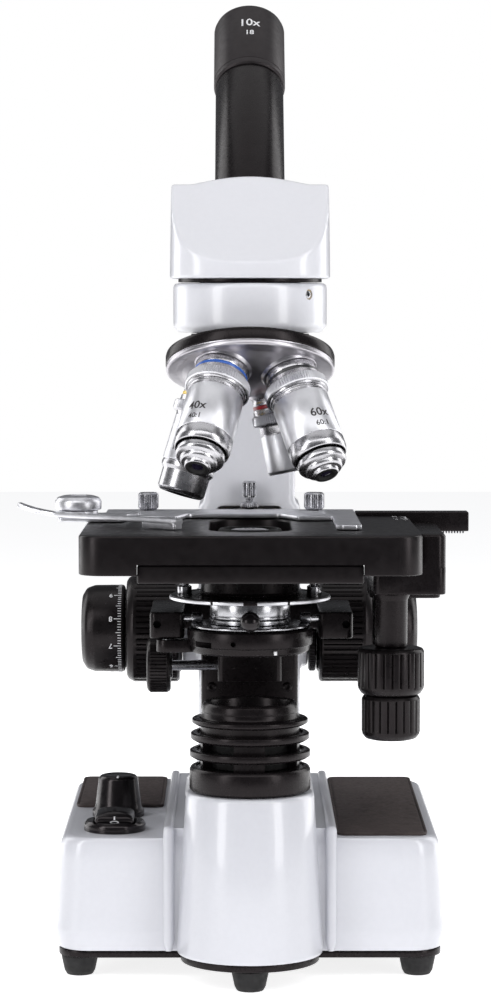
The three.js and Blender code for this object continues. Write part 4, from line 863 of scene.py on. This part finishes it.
# ------------------------------------------------------------------ condenser
def build_condenser():
    chrome, steel = metal("chrome", (0, 0, 1), "z"), metal("steel", (0, 0, 1), "z")
    base = slab(Part(), rrect(-38, 39, 36, 47.7, 2, 4), [], levels(130.8, 141, 0.4, 0.4, 2))
    low = slab(Part(), rrect(-12.5, 12.5, 36, 47.7, 2, 4), [], levels(110, 135, 0.4, 0.2, 2))
    ops = [("UNION", low)]
    for x0, x1 in ((-38, -25), (26, 39)):
        ops.append(("UNION", slab(Part(), rrect(x0, x1, -2, 40, 2.4, 5), [], levels(131, 141, 0.7, 0.9, 3))))
    for x in (-35.2, 36.4):
        ops.append(("DIFFERENCE", turn(Part(), [(0, -1), (1.5, -1), (1.5, 6), (0, 6)], place((x, -2.4, 136.4), (0, 1, 0), (0, 0, 1)), n=28, e=0)))
    ops.append(("DIFFERENCE", turn(Part(), [(0, -40), (2.4, -40), (2.4, -8), (0, -8)], along_x(42, 115.9), n=32, e=0)))
    P = csg(base, *ops)
    # centring screws that reach from the blocks to the cell
    for s, x in ((1, -25.2), (-1, 26.2)):
        M = place((x, 1.5, 138.6), (s, 0, 0), (0, 1, 0))
        turn(P, [(0, -2), (1.3, -2), (1.3, 3.2), (2.0, 3.2, 0.1), (2.0, 7.0, 0.4), (0.9, 7.4, 0.2), (0, 7.4)], M, n=36, mat=1)
    emit("condenser_bracket", "condenser", ["condenser_carrier"], P, [black_satin, steel])
    P = turn(Part(), [(9, 146, 0.1, 0), (29.9, 146, 0.1, 1), (30.5, 146.3, 0.15, 1), (30.5, 147.3, 0.15, 1), (29.9, 147.75, 0.15, 0), (27.4, 147.8, 0.05, 0), (27.2, 147.6, 0.05, 0), (19.6, 148.3, 0.5, 0), (18.7, 149.4, 0.4, 0), (18.4, 156, 0.4), (17.0, 162.0, 0.5), (12.5, 163.6, 0.5, 3), (12.2, 172.0, 0.3, 3), (11.4, 172.8, 0.2, 3), (10.5, 172.8, 0.1, 3), (10.4, 170.3, 0, 3), (9, 170.3)], n=144)
    for a in (-90, -62, -118, 20, 160):
        w = 2.6 if a == -90 else 0.5
        T = Matrix.Rotation(radians(a), 4, "Z")
        brick(P, 29.6, 30.62, -w, w, 146.1, 147.5, 0.15, 0.08, T, 0, 2)
    for x in (-24.8, 24.3):
        K = shift(x, 2, 0)
        turn(P, [(0, 147.4), (2.7, 147.4), (2.7, 150.6, 0.3), (1.7, 151.2, 0.2), (1.6, 151.6), (2.1, 152, 0.2), (2.1, 153.3, 0.3), (0, 153.5)], K, n=36, mat=2)
    for a in (-105, -75, 40, 140):
        T = Matrix.Rotation(radians(a), 4, "Z")
        brick(P, 18.1, 18.62, -0.35, 0.35, 149.8, 155.8, 0.1, 0.05, T, 3, 2)
    emit("condenser_lens_mount", "condenser", ["condenser_head"], P, [black_satin, metal("satin", (0, 0, 1), "z"), chrome, hole_dark])
    P = turn(Part(), [(0, 170.5), (10.1, 170.5, 0.1), (10.1, 171.5, 0.2), (8.4, 172.0, 2), (5, 172.8, 3), (0, 173)], n=64, fs=4)
    emit("condenser_top_lens", "condenser", ["condenser_lens"], P, [coated], 50)
    P = turn(Part(), [(9, 135.6), (22.3, 135.6, 0.1), (22.6, 135.9, 0.1), (22.6, 136.4, 0.1), (22.3, 136.7, 0.1), (10.6, 136.7), (10.6, 139), (14.9, 139, 0.15), (15.2, 139.3, 0.1), (15.2, 140.0, 0.1), (15.05, 140.15, 0.05), (15.05, 140.35, 0.05), (15.2, 140.5, 0.05), (15.2, 145.3, 0.2), (14.9, 145.7, 0.1), (9, 145.7)], n=128)
    emit("iris_cell", "condenser", ["condenser_cell"], P, [steel])
    P = Part()
    for i in range(9):
        a0 = 2 * pi * i / 9
        leaf = [(8.6 * cos(a0 + radians(d)), 8.6 * sin(a0 + radians(d))) for d in range(0, 101, 10)] + [(3.1 * cos(a0 + radians(d)), 3.1 * sin(a0 + radians(d))) for d in range(70, 9, -10)]
        slab(P, leaf, [], [(0, 141.22 + 0.07 * i), (0, 141.27 + 0.07 * i)])
    emit("iris_blades", "condenser", ["iris_leaves"], P, [metal("steel", (0, 0, 1), "z")])
    P = turn(Part(), [(10.9, 136.95), (15.3, 136.95, 0.1), (15.5, 137.2, 0.1), (15.5, 138.6, 0.1), (15.3, 138.8, 0.1), (10.9, 138.8)], n=128, mat=1)
    M = place((0, 0, 136), (0, -1, 0.13), (1, 0, 0))
    turn(P, [(0, 15.2), (1.1, 15.2), (1.1, 26), (0, 26)], M, n=24)
    ball = [(0, -3.75)] + [(3.75 * cos(radians(t)), 3.75 * sin(radians(t)), 0) for t in range(-80, 81, 8)] + [(0, 3.75)]
    turn(P, ball, shift(0, -28, 140), n=56)
    emit("iris_lever_ball", "iris_lever", ["iris_lever"], P, [black_gloss, metal("steel", (0, 0, 1), "z")])
    ring = turn(Part(), [(16.4, 127, 0.1), (18.6, 126.1, 0.3), (21.4, 126.0, 0.2), (22.4, 126.8, 0.4), (22.6, 128.6, 0.1), (22.9, 128.9, 0.1), (23.7, 129.2, 0.2), (23.8, 134.6, 0.3), (23.3, 135.2, 0.2), (17.6, 135.2, 0.2), (17.6, 129), (16.4, 129)], n=144)
    tab = slab(Part(), outline([(-35.5, -4.5), (-20.5, -4.5), (-20.5, 4.5), (-35.5, 4.5)], 4.4, 6), [], levels(126, 130.6, 0.3, 0.4, 2))
    cut1 = slab(Part(), [(-26, -30), (-14.5, -30), (-14.5, -12), (-26, -12)], [], [(0, 128.9), (0, 131.2)])
    cut2 = turn(Part(), [(0, -1), (1.0, -1), (1.0, 3), (0, 3)], place((-6.5, -23.4, 131.0), (0.25, 1, 0), (0, 0, 1)), n=20, e=0)
    P = csg(ring, ("UNION", tab), ("DIFFERENCE", cut1), ("DIFFERENCE", cut2))
    turn(P, [(0, 130.4), (2.2, 130.4), (2.2, 130.75, 0.1), (0, 130.75)], shift(-31, 0, 0), n=32, mat=1)
    brick(P, -0.6, 0.6, -24.0, -23.2, 126.9, 128.3, 0.1, 0.05, shift(9.4, 1.6, 0), 2, 2)
    emit("swing_filter_ring", "filter_holder", ["filter_holder"], P, [black_satin, steel, white_ink])
    M = along_x(42, 115.9)
    P = turn(Part(), [(0, -40.3), (8.9, -40.3, 0.3), (9.9, -39.8, 0.5), (10.7, -38.8, 0.2, 0, (48, 0.5, "groove", 6)), (10.7, -32.4, 0.2), (10.1, -31.3, 0.3), (9.4, -31, 0.2), (5, -31, 0.2), (5, -30.4, 0.1), (2, -30.4, 0.1, 1), (2, -9, 0.2, 1), (0, -9, 0.1, 1)], M, n=72)
    emit("condenser_focus_knob", "condenser_knob", ["condenser_knob"], P, [black_plastic, metal("steel", (1, 0, 0), "x")])


# ------------------------------------------------------------------ nosepiece and objectives
TILT = radians(20.5)
S20, C20 = sin(TILT), cos(TILT)
APEX = (0, 0, 273.1)
TURRET_DIR = (0, -S20, -C20)
LENSES = {"4x": 35, "60x": 125, "40x": -145, "10x": -55}


def lens_dir(deg):
    f = radians(deg)
    return (S20 * sin(f), -S20 * C20 + S20 * C20 * cos(f), -C20 * C20 - cos(f) * S20 * S20)


def build_nosepiece():
    T = place(APEX, TURRET_DIR)
    m = turn(Part(), [(0, 12), (22, 12), (22, 35.9, 0.4), (21.2, 36.2, 0.2), (0, 36.2)], T, n=96)
    keep = slab(Part(), rrect(-40, 40, -60, 60, 1, 2), [], [(0, 200), (0, 246.4)])
    bore = turn(Part(), [(0, 200), (9, 200), (9, 260), (0, 260)], n=40, e=0)
    emit("nosepiece_fixed_plate", "base", ["nosepiece_mount"], csg(m, ("INTERSECT", keep), ("DIFFERENCE", bore)), [black_satin])
    R0 = 51.0
    dome = [(R0 * sin(radians(a)), R0 * cos(radians(a)), 0) for a in (28, 24, 20, 16, 12, 8, 4)]
    body = turn(Part(), [(0, 36.5, 0, 1), (29.8, 36.5, 0.3, 1), (31.2, 37.1, 0.5, 1), (31.5, 38.2, 0.4, 1), (31.5, 41.2, 0.3, 1), (31.0, 41.5, 0.1, 0), (30.95, 41.9, 0.1, 0), (31.3, 42.2, 0.15, 0), (31.3, 43.3, 0.3, 0), (30.5, 43.8, 0.3, 0), (27.4, 43.9, 0.6, 0), (25.4, 44.3, 0.6, 0)] + [q + (0,) for q in dome] + [(0, R0, 0, 0)], T, n=144, e=0)
    ops = []
    for k, f in LENSES.items():
        M = place(APEX, lens_dir(f))
        ops.append(("UNION", turn(Part(), [(0, 44), (11.6, 44), (11.6, 48.4, 0.8), (10.6, 50.2, 0.6), (10.2, 51.0, 0.2), (0, 51)], M, n=72)))
    for k, f in LENSES.items():
        ops.append(("DIFFERENCE", turn(Part(), [(0, 38), (8.2, 38), (8.2, 60), (0, 60)], place(APEX, lens_dir(f)), n=48, e=0)))
    P = csg(body, *ops)
    emit("revolving_nosepiece", "turret", ["nosepiece_turret"], P, [metal("dome", TURRET_DIR, "t"), black_satin], 40)

    for k, f in LENSES.items():
        d = lens_dir(f)
        M = place(APEX, d)
        sat, chr_ = metal("satin", d, k), metal("chrome", d, k)
        ring = RING[{"40x": "blue", "10x": "yellow", "4x": "red", "60x": "black"}[k]]
        big = k in ("40x", "60x")
        kr = 12.0 if k != "4x" else 11.2
        head = [(0, 45, 0, 1), (7.8, 45, 0.2, 1), (7.8, 51.3, 0.1, 1), (9.7, 51.3, 0.15, 1), (9.8, 53.7, 0.1, 1), (9.65, 53.8, 0.02, 2), (10.0, 53.95, 0.05, 2), (10.0, 55.0, 0.05, 2), (9.8, 55.15, 0.02, 1), (10.2, 55.3, 0.1, 1), (10.3, 57.3, 0.1, 1),
                (kr - 0.5, 57.5, 0.1, 0), (kr, 57.95, 0.1, 0, (76, 0.55, "knurl", 6)), (kr, 61.0, 0.1, 0), (kr - 0.5, 61.4, 0.1, 1)]
        if big:
            tail = [(10.9, 61.5, 0.1, 1), (10.8, 62.1, 0.1, 1), (10.2, 62.2, 0.05, 1), (10.2, 62.7, 0.05, 1), (10.6, 62.8, 0.05, 1), (10.6, 63.6, 0.05, 1), (10.15, 63.7, 0.05, 1), (10.15, 64.2, 0.05, 1), (10.5, 64.4, 0.1, 0), (10.5, 82.7, 0.05, 0), (10.3, 82.8, 0.03, 1), (10.3, 83.1, 0.03, 1), (10.48, 83.2, 0.05, 1), (10.48, 86.6, 0.3, 1), (10.0, 88.4, 0.3, 1), (9.5, 88.7, 0.1, 1), (9.3, 88.3, 0.1, 3), (9.3, 86.0, 0.1, 3), (7.6, 85.8, 0.1, 3), (7.6, 78, 0, 3), (0, 78, 0, 3)]
        elif k == "10x":
            tail = [(10.4, 61.5, 0.1, 1), (10.1, 62.4, 0.1, 1), (10.1, 62.9, 0.05, 1), (10.2, 63.1, 0.05, 0), (10.2, 79.8, 0.1, 0), (9.9, 80.0, 0.05, 1), (9.9, 80.5, 0.05, 1), (10.1, 80.7, 0.1, 1), (10.0, 82.2, 0.4, 1), (9.1, 83.4, 0.3, 1), (9.0, 90.2, 0.5, 1), (8.0, 91.3, 0.3, 1), (5.7, 91.5, 0.1, 3), (5.2, 90.4, 0.1, 3), (5.0, 90.2, 0, 4), (0, 90.6, 0, 4)]
        else:
            tail = [(9.8, 61.6, 0.1, 1), (9.3, 62.2, 0.1, 1), (9.2, 64.8, 0.05, 1), (8.9, 65.0, 0.03, 1), (8.9, 65.3, 0.03, 1), (9.4, 65.5, 0.1, 0), (9.4, 79.2, 0.4, 0), (8.7, 80.3, 0.2, 1), (6.3, 80.4, 0.1, 3), (5.8, 79.0, 0.1, 3), (5.6, 78.8, 0, 4), (0, 79.3, 0, 4)]
        P = turn(Part(), head + tail, M, n=96, e=0.1, fs=2)
        R = {"10x": 10.2, "4x": 9.4}.get(k, 10.5)
        a0 = radians({"40x": -90 + 33, "60x": -90 - 30, "10x": -90 + 36, "4x": -90 - 34}[k])
        num = k[:-1]
        lettering(P, num + "x", 4.7 if big else 4.0, on_cylinder(M, R, a0, 75.2 if big else 71, -1), 5, step=0.5)
        lettering(P, num + ":1", 3.1, on_cylinder(M, R, a0, 79.8 if big else 75.6, -1), 5, step=0.5)
        emit("objective_barrel_" + k, "turret", ["objective_" + k], P, [sat, chr_, ring, hole_dark, coated, black_ink])
        if big:
            P = turn(Part(), [(0, 80.8, 0, 0), (7.2, 80.8, 0, 0), (7.25, 88.6, 0.1, 1), (7.3, 89.1, 0.05, 0), (8.7, 89.2, 0.15, 0), (9.0, 89.6, 0.15, 0), (9.0, 91.4, 0.3, 0), (8.4, 92.3, 0.3, 0), (7.0, 92.7, 0.1, 0), (6.9, 93.0, 0.1, 0), (6.75, 93.9, 0.3, 0), (6.0, 94.5, 0.2, 0), (4.9, 94.7, 0.1, 0), (4.8, 95.6, 0.3, 0), (4.3, 96.15, 0.2, 1), (3.1, 96.25, 0.1, 1), (2.3, 95.5, 0.1, 1), (2.1, 95.4, 0, 2), (1.2, 95.65, 0, 2), (0, 95.75, 0, 2)], M, n=88, fs=3)
            emit("objective_nose_" + k, "nose_" + k, ["objective_" + k + "_nose"], P, [chr_, hole_dark, coated])


# ------------------------------------------------------------------ head and eyepiece
def build_head():
    axis = (0, 1, 1)
    from_ = (0, 0, 282.6)
    M = place(from_, axis)
    roof = slab(Part(), outline([(-30, 267, 0.6), (-30, 273.0, 2.4), (-3.0, 302.1, 1.6), (-1.2, 302.5, 1.6), (30, 271.4, 2.5), (30, 267, 0.6)], 1, 6), [], [(0, -31), (0, 31)], SIDE)
    def plan(z):
        hw = 30.1 - 0.6 * (z - 267) / 37
        pts = []
        for i in range(120):
            a = 2 * pi * i / 120
            c, s = cos(a), sin(a)
            n = 3.3 if s < 0 else 5.0
            ny = 30.0
            pts.append((hw * math.copysign(abs(c) ** (2 / n), c), ny * math.copysign(abs(s) ** (2 / n), s), z))
        return pts
    hull = csg(roof, ("INTERSECT", loft(Part(), [plan(262), plan(310)])))
    col = turn(Part(), [(0, -4), (20, -4), (20, 13.4, 1.0), (18.6, 14.2, 0.4), (0, 14.2)], M, n=120)
    clip = slab(Part(), rrect(-29, 29, -29, 40, 2, 4), [], [(0, 267.2), (0, 320)])
    col = csg(col, ("INTERSECT", clip))
    foot = turn(Part(), [(0, 257), (18.4, 257, 0.2), (19, 257.6, 0.2), (19, 265.6, 0.1), (27, 265.6, 0.2), (27, 270), (0, 270)], n=120)
    back = slab(Part(), rrect(-40, 40, 1, 60, 1, 2), [], [(0, 200), (0, 400)])
    P = csg(hull, ("UNION", csg(col, ("INTERSECT", back))))
    P = soften(P, 0.62, 8)
    arched = []
    for x, y, z in P.v:
        q = max(0.0, 1 - (x / 22.5) ** 2)
        k = max(0.0, min(1.0, (z - 290) / 12.5))
        arched.append((x, y, z + 3.0 * q ** 1.25 * k * k * (3 - 2 * k) * (y < 16)))
    P.v = arched
    bore = turn(Part(), [(0, 2), (13.7, 2), (13.7, 60), (0, 60)], M, n=96, e=0)
    well = turn(Part(), [(0, 250), (10, 250), (10, 268), (0, 268)], n=40, e=0)
    P = csg(P, ("DIFFERENCE", bore))
    emit("head_cover", "head", ["head_housing"], P, [enamel], 26)
    P = csg(foot, ("DIFFERENCE", well))
    P2 = Part()
    P2.put([(x, y, z if z < 266.9 else 266.9) for x, y, z in P.v], P.f, P.m)
    emit("head_dovetail", "head", [], P2, [black_satin])
    P = slab(Part(), outline([(-15, 270), (13, 270), (5, 281), (-6, 289), (-15, 280)], 0.4, 2), [], levels(-14, 14, 0.3, 0.3, 1), SIDE)
    emit("head_prism_block", "head", ["head_prism"], P, [prism_glass])
    P = turn(Part(), [(11.9, 12), (13.3, 12, 0.2), (13.3, 82.6, 0.1), (13.15, 82.8, 0.05), (13.15, 83.3, 0.1), (12.9, 83.6, 0.1), (11.9, 83.6, 0.1)], M, n=120)
    emit("ocular_tube", "head", ["eyepiece_tube"], P, [black_satin])
    s, e = 83.6, 119.4
    P = turn(Part(), [(10.3, 58), (11.6, 58, 0.2), (11.6, s + 0.3), (13.3, s + 0.3, 0.15), (14, s + 1.0, 0.3), (14, s + 3.0, 0.05), (13.85, s + 3.1, 0.05), (13.85, s + 3.5, 0.05), (14, s + 3.6, 0.05), (14, e - 2.4, 0.8), (13.4, e - 0.7, 0.8), (12.6, e - 0.05, 0.4), (10.4, e - 0.2, 0.4), (9.5, e - 0.9, 0.3), (8.6, e - 2.6, 0.2), (8.6, s + 24), (10.3, s + 20)], M, n=128, fs=4)
    lettering(P, "10x", 5.6, on_cylinder(M, 14.0, radians(-90), 107.6), 1, step=0.5)
    lettering(P, "18", 3.6, on_cylinder(M, 14.0, radians(-90), 101.6), 1, step=0.5)
    emit("eyepiece_barrel", "eyepiece", ["eyepiece_body"], P, [eyepiece_black, white_ink])
    P = turn(Part(), [(0, e - 9), (8.3, e - 9, 0.2), (8.3, e - 5, 0.3), (6.6, e - 4.2, 2), (3.4, e - 3.4, 2), (0, e - 3.2)], M, n=56, fs=4)
    emit("eyepiece_lens", "eyepiece", ["eye_lens"], P, [glass], 50)


# ------------------------------------------------------------------ floor
def build_floor():
    me = bpy.data.meshes.new("floor")
    bm = bmesh.new()
    ys = [-0.55 + 0.2 * i for i in range(19)]
    rows_ = []
    for x in (-4.0, -1.3, 1.3, 4.0):
        rows_.append([bm.verts.new((x, y, -0.0002)) for y in ys])
    for a, b in zip(rows_, rows_[1:]):
        for i in range(len(ys) - 1):
            bm.faces.new((a[i], b[i], b[i + 1], a[i + 1]))
    bm.to_mesh(me)
    bm.free()
    o = bpy.data.objects.new("floor", me)
    scene.collection.objects.link(o)
    m = material("floor_paper", (0.90, 0.90, 0.905), (0.915, 0.915, 0.92), 0.55, 0.65, cscale=6, rscale=12, bumps=[(900, 2, 1e-5)], spec=0.3)
    m.node_tree.nodes["Principled BSDF"].inputs["Emission Color"].default_value = (1, 1, 1, 1)
    m.node_tree.nodes["Principled BSDF"].inputs["Emission Strength"].default_value = 0.82
    me.materials.append(m)


build_base()
build_lamp()
build_arm()
build_focus()
build_stage()
build_condenser()
build_nosepiece()
build_head()
build_floor()

left = [n for n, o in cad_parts.items() if not o.hide_render]
for n in left:  # any node carried over as it is gets the black satin finish
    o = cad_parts[n]
    o.data.materials.clear()
    o.data.materials.append(black_satin)

print("carried over:", left)
